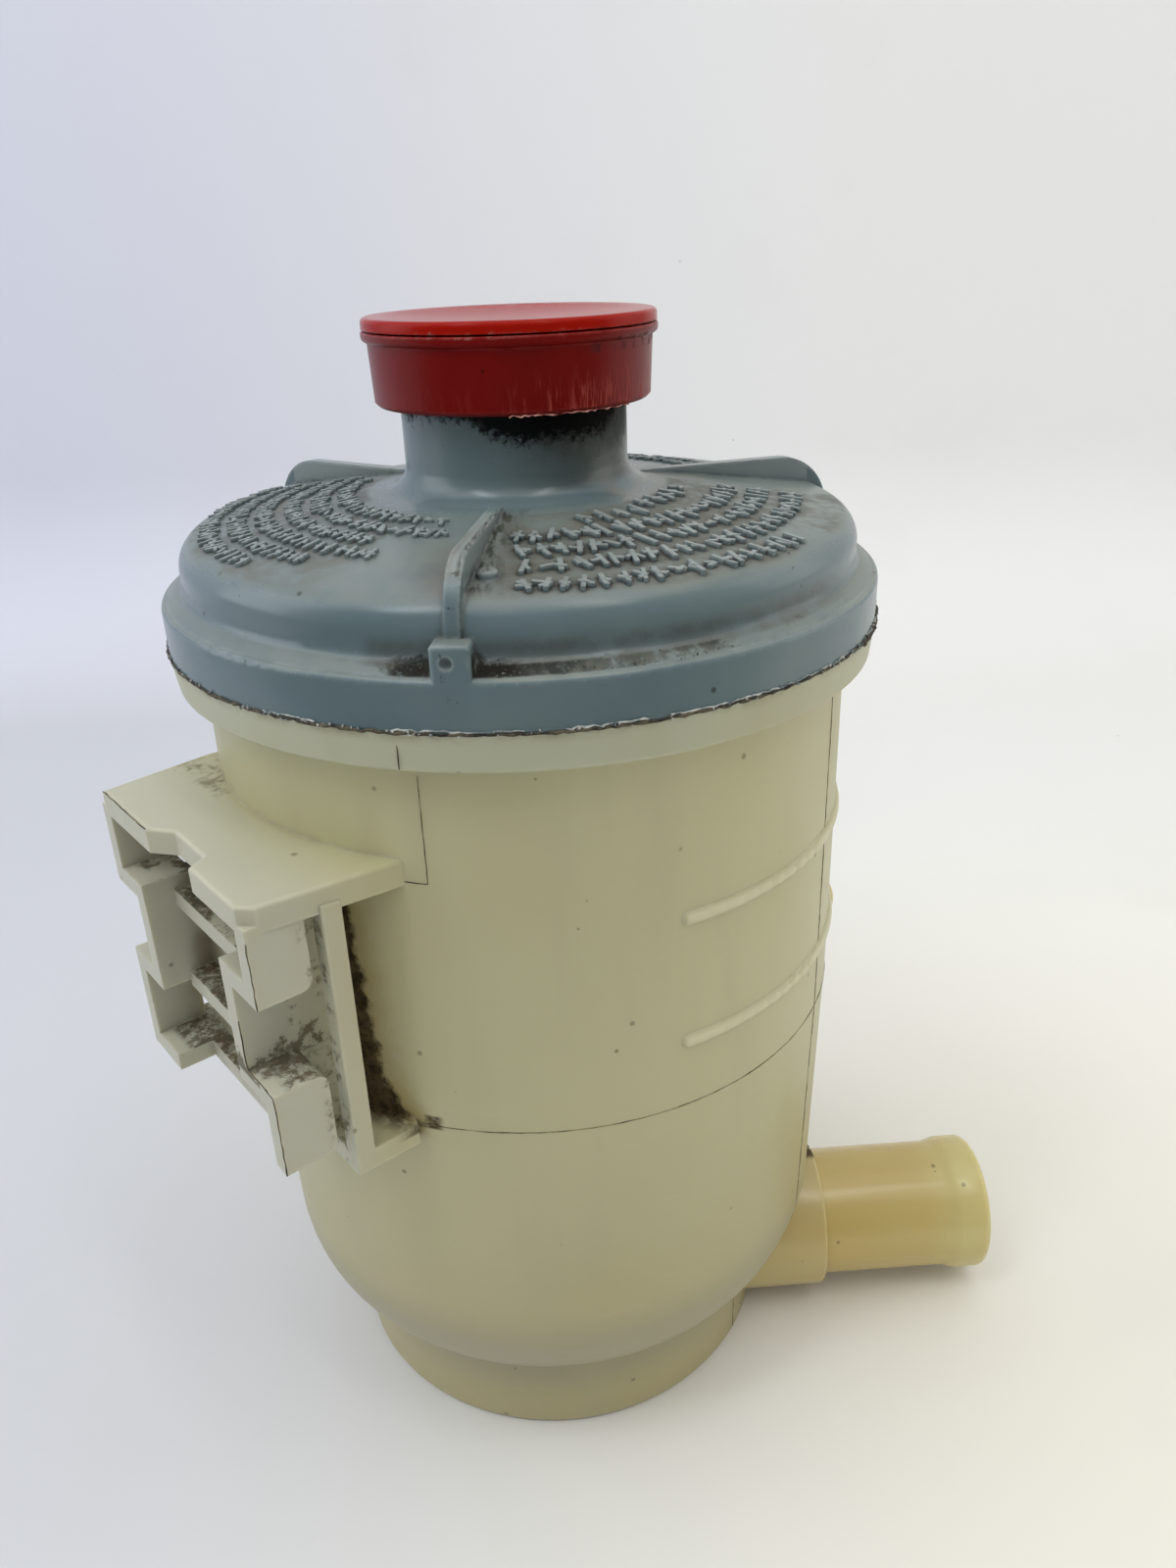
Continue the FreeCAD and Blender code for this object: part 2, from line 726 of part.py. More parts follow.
def lid():
    """The lid moulding: skirt, dome, neck, ribs, blocks and pip in one piece."""
    extras = [turned_to(lid_fin(), azimuth) for azimuth in fin_azimuths]
    extras += [turned_to(lid_block(), azimuth) for azimuth in fin_azimuths]
    extras += [turned_to(baffle_post(), azimuth) for azimuth in spread(baffle_posts, baffle_first_post)]
    extras += [pip(), filler_neck()]
    return lid_shell().fuse(extras).removeSplitter()


def cap_seal_top():
    """Height of the seal's upper face."""
    return neck_top_z + cap_seal_thickness


def cap_shell():
    """Cap skirt, top wall and the plug that drops into the neck."""
    seal_top = cap_seal_top()
    roof_low = seal_top - cap_roof
    pad_radius = vent_pad_radius + seat_gap
    pad_low = cap_recess_z - vent_pad_depth
    plate_top = splash_plate_z + splash_plate_thickness
    plate_bore = plug_bore_radius + splash_plate_seat
    return lathe((cap_bore_radius, cap_skirt_low_z), [
        (cap_skirt_low_radius - cap_hem, cap_skirt_low_z),
        (cap_skirt_low_radius, cap_skirt_low_z + cap_hem),
        (cap_skirt_radius, cap_skirt_top_z),
        (cap_ring_radius, cap_ring_z,
         cap_skirt_radius + 0.7 * cap_ring_proud, cap_skirt_top_z + 0.33 * cap_ring_flare),
        (cap_ring_radius, cap_ring_top_z - cap_ring_edge),
        (cap_ring_radius - cap_ring_edge, cap_ring_top_z),
        (cap_recess_radius, cap_ring_top_z),
        (cap_recess_radius, cap_recess_z),
        (pad_radius, cap_recess_z),
        (pad_radius, pad_low),
        (vent_hole_radius, pad_low),
        (vent_hole_radius, roof_low),
        (plug_bore_radius, roof_low),
        (plug_bore_radius, plate_top),
        (plate_bore, plate_top),
        (plate_bore, plug_low_z),
        (plug_radius - splash_plate_seat, plug_low_z),
        (plug_radius, plug_low_z + plug_lead),
        (plug_radius, seal_top),
        (cap_bore_radius, seal_top),
    ])


def cap_disc():
    """The dished disc closed into the top of the cap."""
    low = cap_recess_z + free_gap
    spigot = cap_recess_radius - seat_gap
    seat_reach = cap_recess_radius + cap_disc_seat_width
    dish_reach = cap_disc_radius - cap_rim_width
    dish_z = cap_top_z - cap_dish_depth
    arc_point = 0.3 * cap_disc_edge
    return lathe((0, low), [
        (spigot, low),
        (spigot, cap_ring_top_z),
        (seat_reach, cap_ring_top_z),
        (seat_reach, cap_disc_low_z),
        (cap_disc_radius, cap_disc_low_z),
        (cap_disc_radius, cap_top_z - cap_disc_edge),
        (cap_disc_radius - cap_disc_edge, cap_top_z, cap_disc_radius - arc_point, cap_top_z - arc_point),
        (dish_reach, cap_top_z),
        (cap_dish_flat, dish_z, (dish_reach + cap_dish_flat) / 2, dish_z + 0.3 * cap_dish_depth),
        (0, dish_z),
    ])


def cap_seal():
    """The flat seal pinched between cap and neck."""
    return tube(neck_bead_radius, plug_radius + seat_gap, neck_top_z, cap_seal_top())


def cap_vent_pad():
    """The porous pad over the vent hole, up to the disc."""
    low = cap_recess_z - vent_pad_depth
    return Part.makeCylinder(vent_pad_radius, vent_pad_depth + free_gap, V(0, 0, low))


def cap_splash_plate():
    """The perforated plate let into the mouth of the plug."""
    radius = plug_bore_radius + splash_plate_seat - seat_gap
    plate = Part.makeCylinder(radius, splash_plate_thickness, V(0, 0, splash_plate_z))
    depth = splash_plate_thickness + 2 * overrun
    low = splash_plate_z - overrun
    holes = [Part.makeCylinder(splash_hole_radius, depth, polar(splash_hole_reach, azimuth, low))
             for azimuth in spread(splash_holes)]
    return plate.cut(holes)


def neck_screen_frame():
    """The basket that hangs in the neck on its rim."""
    rim_top = neck_ledge_z + neck_screen_rim_thickness
    rim_radius = neck_bore_radius - free_gap
    inner = neck_screen_radius - neck_screen_wall
    frame = lathe((0, neck_screen_low_z), [
        (neck_screen_radius, neck_screen_low_z),
        (neck_screen_radius, neck_ledge_z),
        (rim_radius, neck_ledge_z),
        (rim_radius, rim_top),
        (inner, rim_top),
        (inner, neck_screen_low_z + neck_screen_wall),
        (0, neck_screen_low_z + neck_screen_wall),
    ])
    half_width = neck_screen_window_width / 2
    window = slab((inner - overrun, neck_screen_radius + overrun), (-half_width, half_width),
                  (neck_screen_low_z + neck_screen_window_margin, neck_ledge_z - neck_screen_window_margin))
    first = 180.0 / neck_screen_windows
    return frame.cut([turned_to(window, azimuth) for azimuth in spread(neck_screen_windows, first)])


def neck_screen_mesh():
    """The mesh sleeve that stands in the basket."""
    outer = neck_screen_radius - neck_screen_wall - seat_gap
    low = neck_screen_low_z + neck_screen_wall
    return tube(outer, outer - mesh_thickness, low, neck_ledge_z - root)


def splash_baffle():
    """The perforated plate under the lid."""
    low = baffle_top_z - baffle_thickness
    plate = Part.makeCylinder(baffle_radius, baffle_thickness, V(0, 0, low))
    rim = tube(baffle_radius, baffle_radius - baffle_rim_width, low - baffle_rim_depth, low + root)
    depth = baffle_thickness + 2 * overrun
    low_cut = low - overrun
    pin_fit = baffle_pin_radius + seat_gap
    cuts = [Part.makeCylinder(baffle_hole_radius, depth, polar(baffle_hole_reach, azimuth, low_cut))
            for azimuth in spread(baffle_holes, baffle_first_hole)]
    cuts += [Part.makeCylinder(pin_fit, depth, polar(baffle_post_reach, azimuth, low_cut))
             for azimuth in spread(baffle_posts, baffle_first_post)]
    return plate.fuse(rim).cut(cuts)


def screen_wheel(low, thickness):
    """A spoked wheel lying flat."""
    wheel = tube(screen_radius, screen_radius - screen_ring_width, low, low + thickness)
    wheel = wheel.fuse(Part.makeCylinder(screen_hub_radius, thickness, V(0, 0, low)))
    spoke = slab((screen_hub_radius - overrun, screen_radius - overrun),
                 (-screen_spoke_width / 2, screen_spoke_width / 2), (low, low + thickness))
    return wheel.fuse([turned_to(spoke, azimuth) for azimuth in spread(screen_spokes)])


def screen_pin_places(z):
    """Where the lower wheel's pins pass through the mesh and the upper wheel."""
    return [polar(screen_radius - screen_ring_width / 2, azimuth, z) for azimuth in spread(screen_spokes)]


def screen_pin_holes(z):
    """Cutters for the holes that the pins pass through."""
    depth = screen_ring_thickness + 2 * overrun
    pin_fit = screen_pin_radius + seat_gap
    return [Part.makeCylinder(pin_fit, depth, place) for place in screen_pin_places(z - overrun)]


def screen_lower():
    """The lower wheel with its pins."""
    length = 2 * screen_ring_thickness + mesh_thickness + screen_pin_head
    pins = [Part.makeCylinder(screen_pin_radius, length, place)
            for place in screen_pin_places(screen_seat_z)]
    return screen_wheel(screen_seat_z, screen_ring_thickness).fuse(pins)


def screen_mesh():
    """The mesh disc pinched between the wheels."""
    low = screen_seat_z + screen_ring_thickness
    disc = Part.makeCylinder(screen_radius, mesh_thickness, V(0, 0, low))
    return disc.cut(screen_pin_holes(low))


def screen_upper():
    """The upper wheel, caught under the tank's lugs."""
    low = screen_seat_z + screen_ring_thickness + mesh_thickness
    return screen_wheel(low, screen_ring_thickness).cut(screen_pin_holes(low))


def return_diffuser():
    """The slotted cup pushed on to the stub of the return pipe."""
    inner = return_tube_radius + seat_gap
    outer = inner + diffuser_wall
    chamber_start = diffuser_end_reach + diffuser_wall
    cup = along_return(outer, diffuser_end_reach, diffuser_open_reach)
    socket = along_return(inner, return_stub_reach, diffuser_open_reach + overrun)
    hollow_radius = return_bore_radius + diffuser_flow_gap
    hollow = along_return(hollow_radius, chamber_start, return_stub_reach + overrun)
    middle = (chamber_start + return_stub_reach) / 2
    corner = V(middle - diffuser_slot_length / 2, -diffuser_slot_width / 2, 0)
    slot = Part.makeBox(diffuser_slot_length, diffuser_slot_width, outer + overrun, corner)
    slots = []
    for azimuth in spread(diffuser_slots, 180.0 / diffuser_slots):
        cutter = slot.copy()
        cutter.rotate(ORIGIN, V(1, 0, 0), azimuth)
        cutter.translate(V(0, 0, return_z))
        slots.append(turned_to(cutter, return_azimuth))
    return cup.cut([socket, hollow]).cut(slots)


def sump_magnet():
    """The ring magnet on the sump floor."""
    top = floor_thickness + magnet_thickness
    return tube(magnet_radius, magnet_peg_radius + seat_gap, floor_thickness, top)


PIECES = {
    "tank_body": tank_body,
    "lid": lid,
    "cap_shell": cap_shell,
    "cap_disc": cap_disc,
    "cap_seal": cap_seal,
    "cap_vent_pad": cap_vent_pad,
    "cap_splash_plate": cap_splash_plate,
    "neck_screen_frame": neck_screen_frame,
    "neck_screen_mesh": neck_screen_mesh,
    "splash_baffle": splash_baffle,
    "return_diffuser": return_diffuser,
    "bottom_screen_lower": screen_lower,
    "bottom_screen_mesh": screen_mesh,
    "bottom_screen_upper": screen_upper,
    "sump_magnet": sump_magnet,
}

os.makedirs("parts", exist_ok=True)
for name, make in PIECES.items():
    shape = make()
    shape.exportStep("parts/" + name + ".step")
    print(name, len(shape.Solids), shape.isValid(), round(shape.Volume))
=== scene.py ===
import math

import bmesh
import bpy
from mathutils import Matrix, Vector


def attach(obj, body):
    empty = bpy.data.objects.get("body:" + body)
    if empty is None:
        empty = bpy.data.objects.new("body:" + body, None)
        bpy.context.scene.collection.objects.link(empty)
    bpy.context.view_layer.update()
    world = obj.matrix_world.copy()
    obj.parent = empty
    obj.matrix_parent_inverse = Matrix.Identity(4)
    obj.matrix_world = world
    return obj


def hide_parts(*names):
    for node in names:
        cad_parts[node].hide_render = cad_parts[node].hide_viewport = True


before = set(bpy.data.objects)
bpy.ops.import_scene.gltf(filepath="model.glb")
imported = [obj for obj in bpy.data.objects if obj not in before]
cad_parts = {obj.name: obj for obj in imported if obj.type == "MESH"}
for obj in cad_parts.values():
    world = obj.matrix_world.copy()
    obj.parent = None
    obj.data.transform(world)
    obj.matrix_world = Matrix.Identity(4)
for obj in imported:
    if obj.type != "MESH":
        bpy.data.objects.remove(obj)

MM = 0.001

# Places on the reservoir that the surface detail follows, in millimetres and degrees
bracket_azimuth = -144.0
weld_z = 117.3
flange_radius = 45.5
dome_rim_reach, dome_rim_z = 40.2, 130.0
dome_root_reach, dome_root_z = 17.2, 133.3
dome_slope = (dome_root_z - dome_rim_z) / (dome_rim_reach - dome_root_reach)
mould_line_z = 64.0
mould_line_radius = 41.9
suction_y, suction_z = -6.0, 11.8
return_azimuth, return_z = 36.0, 48.0
front_rib_azimuth = -99.7
right_seam_azimuth = -28.6
plate_seam_azimuth = -107.0


def tone(red, green, blue):
    """A surface colour from screen values."""
    def linear(value):
        share = value / 255
        return share / 12.92 if share <= 0.04045 else ((share + 0.055) / 1.055) ** 2.4
    return (linear(red), linear(green), linear(blue), 1.0)


def polar(reach, azimuth, z):
    """A point in metres from a reach, an azimuth and a height."""
    angle = math.radians(azimuth)
    return Vector((reach * math.cos(angle), reach * math.sin(angle), z)) * MM


def dome_z(reach):
    """Height of the lid's cone at a reach."""
    return dome_root_z - dome_slope * (reach - dome_root_reach)


class Net:
    """A node tree filled by short calls."""

    def __init__(self, tree):
        self.tree = tree

    def node(self, kind, inputs=None, **settings):
        made = self.tree.nodes.new(kind)
        for name, value in settings.items():
            setattr(made, name, value)
        for key, value in (inputs or {}).items():
            self.feed(made.inputs[key], value)
        return made

    def feed(self, socket, value):
        if isinstance(value, bpy.types.NodeSocket):
            self.tree.links.new(value, socket)
        else:
            socket.default_value = value

    def calc(self, operation, *values):
        made = self.node("ShaderNodeMath", operation=operation)
        for socket, value in zip(made.inputs, values):
            self.feed(socket, value)
        return made.outputs[0]

    def vector(self, operation, *values):
        made = self.node("ShaderNodeVectorMath", operation=operation)
        for socket, value in zip(made.inputs, values):
            self.feed(socket, value)
        return made.outputs["Value"] if operation in ("LENGTH", "DOT_PRODUCT") else made.outputs[0]

    def rise(self, value, low, high):
        """0 below low, 1 above high and smooth between."""
        made = self.node("ShaderNodeMapRange", {"Value": value, "From Min": low, "From Max": high},
                         interpolation_type="SMOOTHSTEP")
        return made.outputs["Result"]

    def within(self, value, low, high, edge):
        """1 between low and high, with soft ends."""
        return self.calc("MULTIPLY", self.rise(value, low - edge, low), self.fall(value, high, high + edge))

    def fall(self, value, low, high):
        return self.calc("SUBTRACT", 1.0, self.rise(value, low, high))

    def times(self, *values):
        total = values[0]
        for value in values[1:]:
            total = self.calc("MULTIPLY", total, value)
        return total

    def most(self, *values):
        total = values[0]
        for value in values[1:]:
            total = self.calc("MAXIMUM", total, value)
        return total

    def noise(self, place, scale, detail=3.0, rough=0.55):
        made = self.node("ShaderNodeTexNoise",
                         {"Vector": place, "Scale": scale, "Detail": detail, "Roughness": rough})
        return made.outputs["Fac"]

    def tint(self, factor, first, second):
        """Blend two colours."""
        made = self.node("ShaderNodeMix", data_type="RGBA")
        self.feed(made.inputs[0], factor)
        self.feed(made.inputs[6], first)
        self.feed(made.inputs[7], second)
        return made.outputs[2]

    def scaled(self, vector, factor):
        made = self.node("ShaderNodeVectorMath", operation="SCALE")
        self.feed(made.inputs[0], vector)
        self.feed(made.inputs["Scale"], factor)
        return made.outputs[0]

    def random(self, low, high, seed):
        """A random vector for each point."""
        made = self.node("FunctionNodeRandomValue", {"Seed": seed}, data_type="FLOAT_VECTOR")
        made.inputs[0].default_value = low
        made.inputs[1].default_value = high
        return made.outputs[0]

    def pushed(self, mesh, distance):
        """A mesh moved along its normals."""
        normal = self.node("GeometryNodeInputNormal").outputs[0]
        offset = self.scaled(normal, distance)
        return self.node("GeometryNodeSetPosition", {"Geometry": mesh, "Offset": offset}).outputs[0]

    def use(self, group, **inputs):
        made = self.node("ShaderNodeGroup", node_tree=group)
        for name, value in inputs.items():
            self.feed(made.inputs[name.replace("_", " ")], value)
        return made.outputs[0]


def shader_group(name, inputs, output, kind="NodeSocketFloat"):
    """An empty group with its sockets, as a net and its two ends."""
    tree = bpy.data.node_groups.new(name, "ShaderNodeTree")
    for label, value in inputs.items():
        is_place = value is None
        socket = tree.interface.new_socket(
            label, in_out="INPUT", socket_type="NodeSocketVector" if is_place else "NodeSocketFloat")
        if not is_place:
            socket.default_value = value
    tree.interface.new_socket(output, in_out="OUTPUT", socket_type=kind)
    net = Net(tree)
    return net, net.node("NodeGroupInput").outputs, net.node("NodeGroupOutput").inputs[0]


def crevice_group(name, own_shape):
    """Dirt that gathers in corners, broken up by a grain."""
    net, given, result = shader_group(
        name, {"Place": None, "Reach": 0.003, "Low": 0.25, "Grain": 900.0}, "Mask")
    shade = net.node("ShaderNodeAmbientOcclusion", {"Distance": given["Reach"]},
                     samples=4, only_local=own_shape)
    hidden = net.calc("SUBTRACT", 1.0, shade.outputs["AO"])
    grain = net.noise(given["Place"], given["Grain"], 4.0, 0.65)
    cloud = net.noise(given["Place"], net.calc("MULTIPLY", given["Grain"], 0.16), 2.0)
    broken = net.calc("MULTIPLY_ADD", net.calc("ADD", grain, cloud), 0.55, net.calc("MULTIPLY", hidden, 1.1))
    low = net.calc("ADD", given["Low"], 0.55)
    high = net.calc("ADD", low, 0.32)
    net.feed(result, net.times(net.rise(broken, low, high), net.rise(hidden, 0.04, 0.3)))
    return net.tree


def speck_group():
    """Small scattered dots."""
    net, given, result = shader_group(
        "specks", {"Place": None, "Scale": 300.0, "Share": 0.1, "Size": 0.2}, "Mask")
    cells = net.node("ShaderNodeTexVoronoi", {"Vector": given["Place"], "Scale": given["Scale"]})
    pick = net.node("ShaderNodeSeparateColor", {"Color": cells.outputs["Color"]})
    chosen = net.calc("LESS_THAN", pick.outputs[0], given["Share"])
    size = net.calc("MULTIPLY", given["Size"], net.calc("ADD", 0.4, pick.outputs[1]))
    dot = net.fall(cells.outputs["Distance"], net.calc("MULTIPLY", size, 0.5), size)
    net.feed(result, net.times(dot, chosen))
    return net.tree


def edge_wear_and_highlight_group():
    """Edges rubbed pale, also used as a painted highlight along edges."""
    net, given, result = shader_group("worn_and_highlit_edges", {"Radius": 0.0005, "Place": None}, "Mask")
    round_normal = net.node("ShaderNodeBevel", {"Radius": given["Radius"]}, samples=3).outputs[0]
    true_normal = net.node("ShaderNodeNewGeometry").outputs["Normal"]
    turn = net.calc("SUBTRACT", 1.0, net.vector("DOT_PRODUCT", round_normal, true_normal))
    patchy = net.noise(given["Place"], 420.0, 3.0)
    net.feed(result, net.times(net.rise(turn, 0.006, 0.09), net.rise(patchy, 0.3, 0.62)))
    return net.tree


def skin_group():
    """Height of a moulded surface: faint flow waves and a fine grain."""
    net, given, result = shader_group("moulded_skin", {"Place": None, "Grain": 1500.0}, "Height")
    waves = net.noise(given["Place"], 70.0, 2.0)
    grain = net.noise(given["Place"], given["Grain"], 3.0)
    net.feed(result, net.calc("MULTIPLY_ADD", grain, 0.12, waves))
    return net.tree


CREVICE = crevice_group("crevice_dirt", True)
AROUND = crevice_group("dirt_around_marks", False)
SPECKS = speck_group()
EDGE_WEAR_AND_HIGHLIGHT = edge_wear_and_highlight_group()
SKIN = skin_group()


def new_material(name):
    """A material as (material, net, shader, place)."""
    material = bpy.data.materials.new(name)
    material.use_nodes = True
    net = Net(material.node_tree)
    material.node_tree.nodes.clear()
    shader = net.node("ShaderNodeBsdfPrincipled")
    end = net.node("ShaderNodeOutputMaterial")
    net.feed(end.inputs["Surface"], shader.outputs[0])
    place = net.node("ShaderNodeTexCoord").outputs["Object"]
    return material, net, shader, place


def finish_surface(net, shader, colour, roughness, height=None, depth=0.1, soft_edge=0.0):
    """Link colour, roughness and the bumped, edge-rounded normal."""
    net.feed(shader.inputs["Base Color"], colour)
    net.feed(shader.inputs["Roughness"], roughness)
    rounded = net.node("ShaderNodeBevel", {"Radius": soft_edge}, samples=3).outputs[0] if soft_edge else None
    if height is not None:
        bump = net.node("ShaderNodeBump", {"Height": height, "Strength": 1.0, "Distance": depth * MM})
        if rounded is not None:
            net.feed(bump.inputs["Normal"], rounded)
        net.feed(shader.inputs["Normal"], bump.outputs[0])
    elif rounded is not None:
        net.feed(shader.inputs["Normal"], rounded)


def spread_out(net, place):
    """X, Y, Z, distance from the tank axis and azimuth in radians."""
    axes = net.node("ShaderNodeSeparateXYZ", {"Vector": place}).outputs
    reach = net.calc("SQRT", net.calc("ADD", net.calc("MULTIPLY", axes[0], axes[0]),
                                      net.calc("MULTIPLY", axes[1], axes[1])))
    return axes[0], axes[1], axes[2], reach, net.calc("ARCTAN2", axes[1], axes[0])


def bracket_axes(net, place):
    """Outward and across distances in the bracket's own directions."""
    turned = net.node("ShaderNodeVectorRotate",
                      {"Vector": place, "Angle": -math.radians(bracket_azimuth)}, rotation_type="Z_AXIS")
    axes = net.node("ShaderNodeSeparateXYZ", {"Vector": turned.outputs[0]}).outputs
    return axes[0], axes[1]


def facing_up(net):
    """How far the surface faces up."""
    normal = net.node("ShaderNodeNewGeometry").outputs["Normal"]
    return net.node("ShaderNodeSeparateXYZ", {"Vector": normal}).outputs[2]


def around_axis(net, first, second, first_centre, second_centre):
    """Distance from a line, measured in two directions."""
    a = net.calc("SUBTRACT", first, first_centre)
    b = net.calc("SUBTRACT", second, second_centre)
    return net.calc("SQRT", net.calc("ADD", net.calc("MULTIPLY", a, a), net.calc("MULTIPLY", b, b)))


def nylon_material():
    """Natural nylon of the tank: aged cream, amber where it turns into pipes, dirty in the bracket."""
    material, net, shader, place = new_material("aged_nylon")
    x, y, z, reach, azimuth = spread_out(net, place)
    out, across = bracket_axes(net, place)

    # Places on the moulding in metres and radians, each as low, high and soft edge
    bottom_up = (0.012, 0.025, 0.008)
    marks_up, marks_round = (0.0725, 0.0925, 0.0004), (-1.17, 0.22, 0.01)
    bracket_up, bracket_wide = (0.0610, 0.1015, 0.0005), (-0.0215, 0.0240, 0.0005)
    stain_up = (0.0635, 0.0930, 0.003)
    shelf_up, shelf_wide = (0.0636, 0.0652, 0.0004), (0.012, 0.0235, 0.001)
    ledge_out = (0.0458, 0.0508, 0.0012)
    web_up, web_wide = (0.0768, 0.0812, 0.0006), (0.0120, 0.0175, 0.001)
    post_up, post_wide = (0.0620, 0.0950, 0.003), (0.0150, 0.0215, 0.0010)
    post_out = (0.0434, 0.0470, 0.0010)
    smudge_up, smudge_wide = (0.1000, 0.1018, 0.0006), (-0.0175, -0.0080, 0.004)
    smudge_out = (0.0375, 0.0425, 0.002)
    inner_wall_wide = (-0.0170, 0.0135, 0.001)
    spot_x, spot_y, spot_up = (0.0395, 0.0424, 0.0006), (-0.0050, 0.0010, 0.0015), (0.0222, 0.0245, 0.0005)

    cloud = net.noise(place, 22.0, 3.0)
    ragged = net.noise(place, 480.0, 5.0, 0.7)
    coarse = net.noise(place, 130.0, 3.0)
    grimy = net.calc("MULTIPLY_ADD", ragged, 0.6, net.calc("MULTIPLY", coarse, 0.6))
    colour = net.tint(net.rise(z, 0.010, 0.075), tone(168, 159, 120), tone(184, 180, 142))
    colour = net.tint(net.rise(z, 0.1115, 0.1130), colour, tone(176, 177, 152))
    colour = net.tint(net.times(net.rise(cloud, 0.42, 0.75), 0.45), colour, tone(174, 164, 118))
    # Grey band low on the bulge: painted shade where the wall turns under towards the floor
    bulge_shade = net.within(z, *bottom_up)
    colour = net.tint(net.times(bulge_shade, 0.6), colour, tone(148, 143, 120))
    drawn = net.noise(net.vector("MULTIPLY", place, (1.0, 1.0, 0.16)), 120.0, 3.0)
    colour = net.tint(net.times(net.rise(drawn, 0.45, 0.75), 0.30), colour, tone(166, 160, 128))
    # Painted highlight along the raised level marks
    mark_highlight = net.times(net.rise(reach, 0.0421, 0.0424), net.within(z, *marks_up),
                        net.within(azimuth, *marks_round))
    colour = net.tint(net.times(mark_highlight, 0.35), colour, tone(220, 217, 190))

    # Pipes
    from_suction = around_axis(net, y, z, suction_y * MM, suction_z * MM)
    on_suction = net.times(net.rise(x, 0.0255, 0.0300), net.fall(from_suction, 0.0113, 0.0122))
    angle = math.radians(return_azimuth)
    sideways = net.calc("SUBTRACT", net.calc("MULTIPLY", y, math.cos(angle)),
                        net.calc("MULTIPLY", x, math.sin(angle)))
    from_return = around_axis(net, sideways, z, 0.0, return_z * MM)
    on_return = net.times(net.rise(reach, 0.0445, 0.0455), net.fall(from_return, 0.0075, 0.0080))
    on_pipe = net.most(on_suction, on_return)
    amber = net.tint(net.rise(x, 0.058, 0.066), tone(192, 173, 110), tone(200, 190, 130))
    amber = net.tint(net.rise(x, 0.0420, 0.0426), tone(186, 171, 118), amber)
    streak = net.noise(net.vector("MULTIPLY", place, (0.3, 1.0, 1.0)), 130.0, 3.0)
    amber = net.tint(net.times(net.rise(streak, 0.32, 0.82), 0.45), amber, tone(190, 158, 92))
    colour = net.tint(on_pipe, colour, amber)

    # Pale, milky walls of the bracket
    bracket_box = net.times(net.within(z, *bracket_up), net.within(across, *bracket_wide))
    in_bracket = net.times(net.rise(out, 0.0425, 0.0440), bracket_box)
    on_plate = net.rise(z, 0.0970, 0.0980)
    milky = net.times(net.rise(out, 0.0370, 0.0500), net.rise(reach, 0.0423, 0.0430), bracket_box)
    colour = net.tint(net.times(milky, net.calc("MULTIPLY_ADD", on_plate, -0.15, 0.75)),
                      colour, tone(181, 180, 167))

    # Stain down the wall behind the post, wider towards the shelf
    down = net.calc("SUBTRACT", 0.0925, z)
    stain_edge = net.calc("MULTIPLY_ADD", down, math.radians(0.145) / MM, math.radians(-122.0))
    stain_edge = net.calc("MULTIPLY_ADD", net.fall(z, 0.0640, 0.0700), math.radians(2.6), stain_edge)
    ragged_turn = net.calc("MULTIPLY_ADD", net.calc("SUBTRACT", grimy, 0.6), 0.11, azimuth)
    past = net.calc("SUBTRACT", ragged_turn, stain_edge)
    on_wall = net.times(net.fall(reach, 0.0424, 0.0430), net.within(z, *stain_up),
                        net.rise(azimuth, math.radians(-132.0), math.radians(-126.0)))
    gap = net.times(on_wall, net.fall(past, -0.010, 0.016))
    halo = net.times(on_wall, net.fall(past, 0.0, 0.120), 0.65)
    shelf = net.times(net.within(across, *shelf_wide), net.within(z, *shelf_up), net.rise(out, 0.020, 0.025),
                      net.fall(reach, 0.0425, 0.0460), net.rise(grimy, 0.46, 0.62))

    # Dirt on ledges, at the webs' roots and at the foot of the suction collar
    upward = net.rise(facing_up(net), 0.55, 0.8)
    crumbly = net.rise(net.noise(place, 1000.0, 3.0, 0.7), 0.28, 0.54)
    ledge = net.times(upward, in_bracket, net.fall(z, 0.0905, 0.0915), net.within(out, *ledge_out),
                      net.rise(grimy, 0.50, 0.64), crumbly, 0.9)
    height_up = net.calc("MULTIPLY", net.calc("SUBTRACT", z, 0.0773), 60.0)
    low_web = net.calc("ADD", height_up, 0.40)
    web = net.times(in_bracket, net.within(z, *web_up), net.within(across, *web_wide),
                    net.rise(ragged, low_web, net.calc("ADD", low_web, 0.14)))
    behind_post = net.times(net.within(across, *post_wide), net.within(out, *post_out),
                            net.within(z, *post_up), net.rise(ragged, 0.50, 0.66), 0.75)
    smudge = net.times(net.within(across, *smudge_wide), net.within(out, *smudge_out),
                       net.within(z, *smudge_up), net.rise(ragged, 0.44, 0.64), 0.6)
    marbled = net.calc("MULTIPLY_ADD", net.rise(coarse, 0.45, 0.70), 0.6, 0.3)
    inner_wall = net.times(in_bracket, net.fall(out, 0.0470, 0.0500), net.within(across, *inner_wall_wide),
                           net.fall(z, 0.0965, 0.0975), marbled)
    corner = net.use(CREVICE, Place=place, Reach=0.0020, Low=0.40, Grain=700.0)
    collar = net.times(net.within(x, *spot_x), net.within(y, *spot_y), net.within(z, *spot_up),
                       net.rise(grimy, 0.42, 0.56))
    under_weld = net.times(net.rise(z, 0.1158, 0.1173), net.rise(grimy, 0.50, 0.75), 0.55)
    colour = net.tint(halo, colour, tone(158, 138, 84))
    colour = net.tint(inner_wall, colour, tone(128, 119, 98))
    colour = net.tint(net.times(corner, 0.35), colour, tone(122, 108, 78))
    brown = net.tint(net.rise(ragged, 0.35, 0.65), tone(34, 27, 18), tone(86, 72, 48))
    dirt = net.most(gap, shelf, collar, behind_post, smudge, ledge, net.times(web, 0.8))
    colour = net.tint(net.times(dirt, 0.95), colour, brown)
    colour = net.tint(under_weld, colour, tone(120, 110, 84))
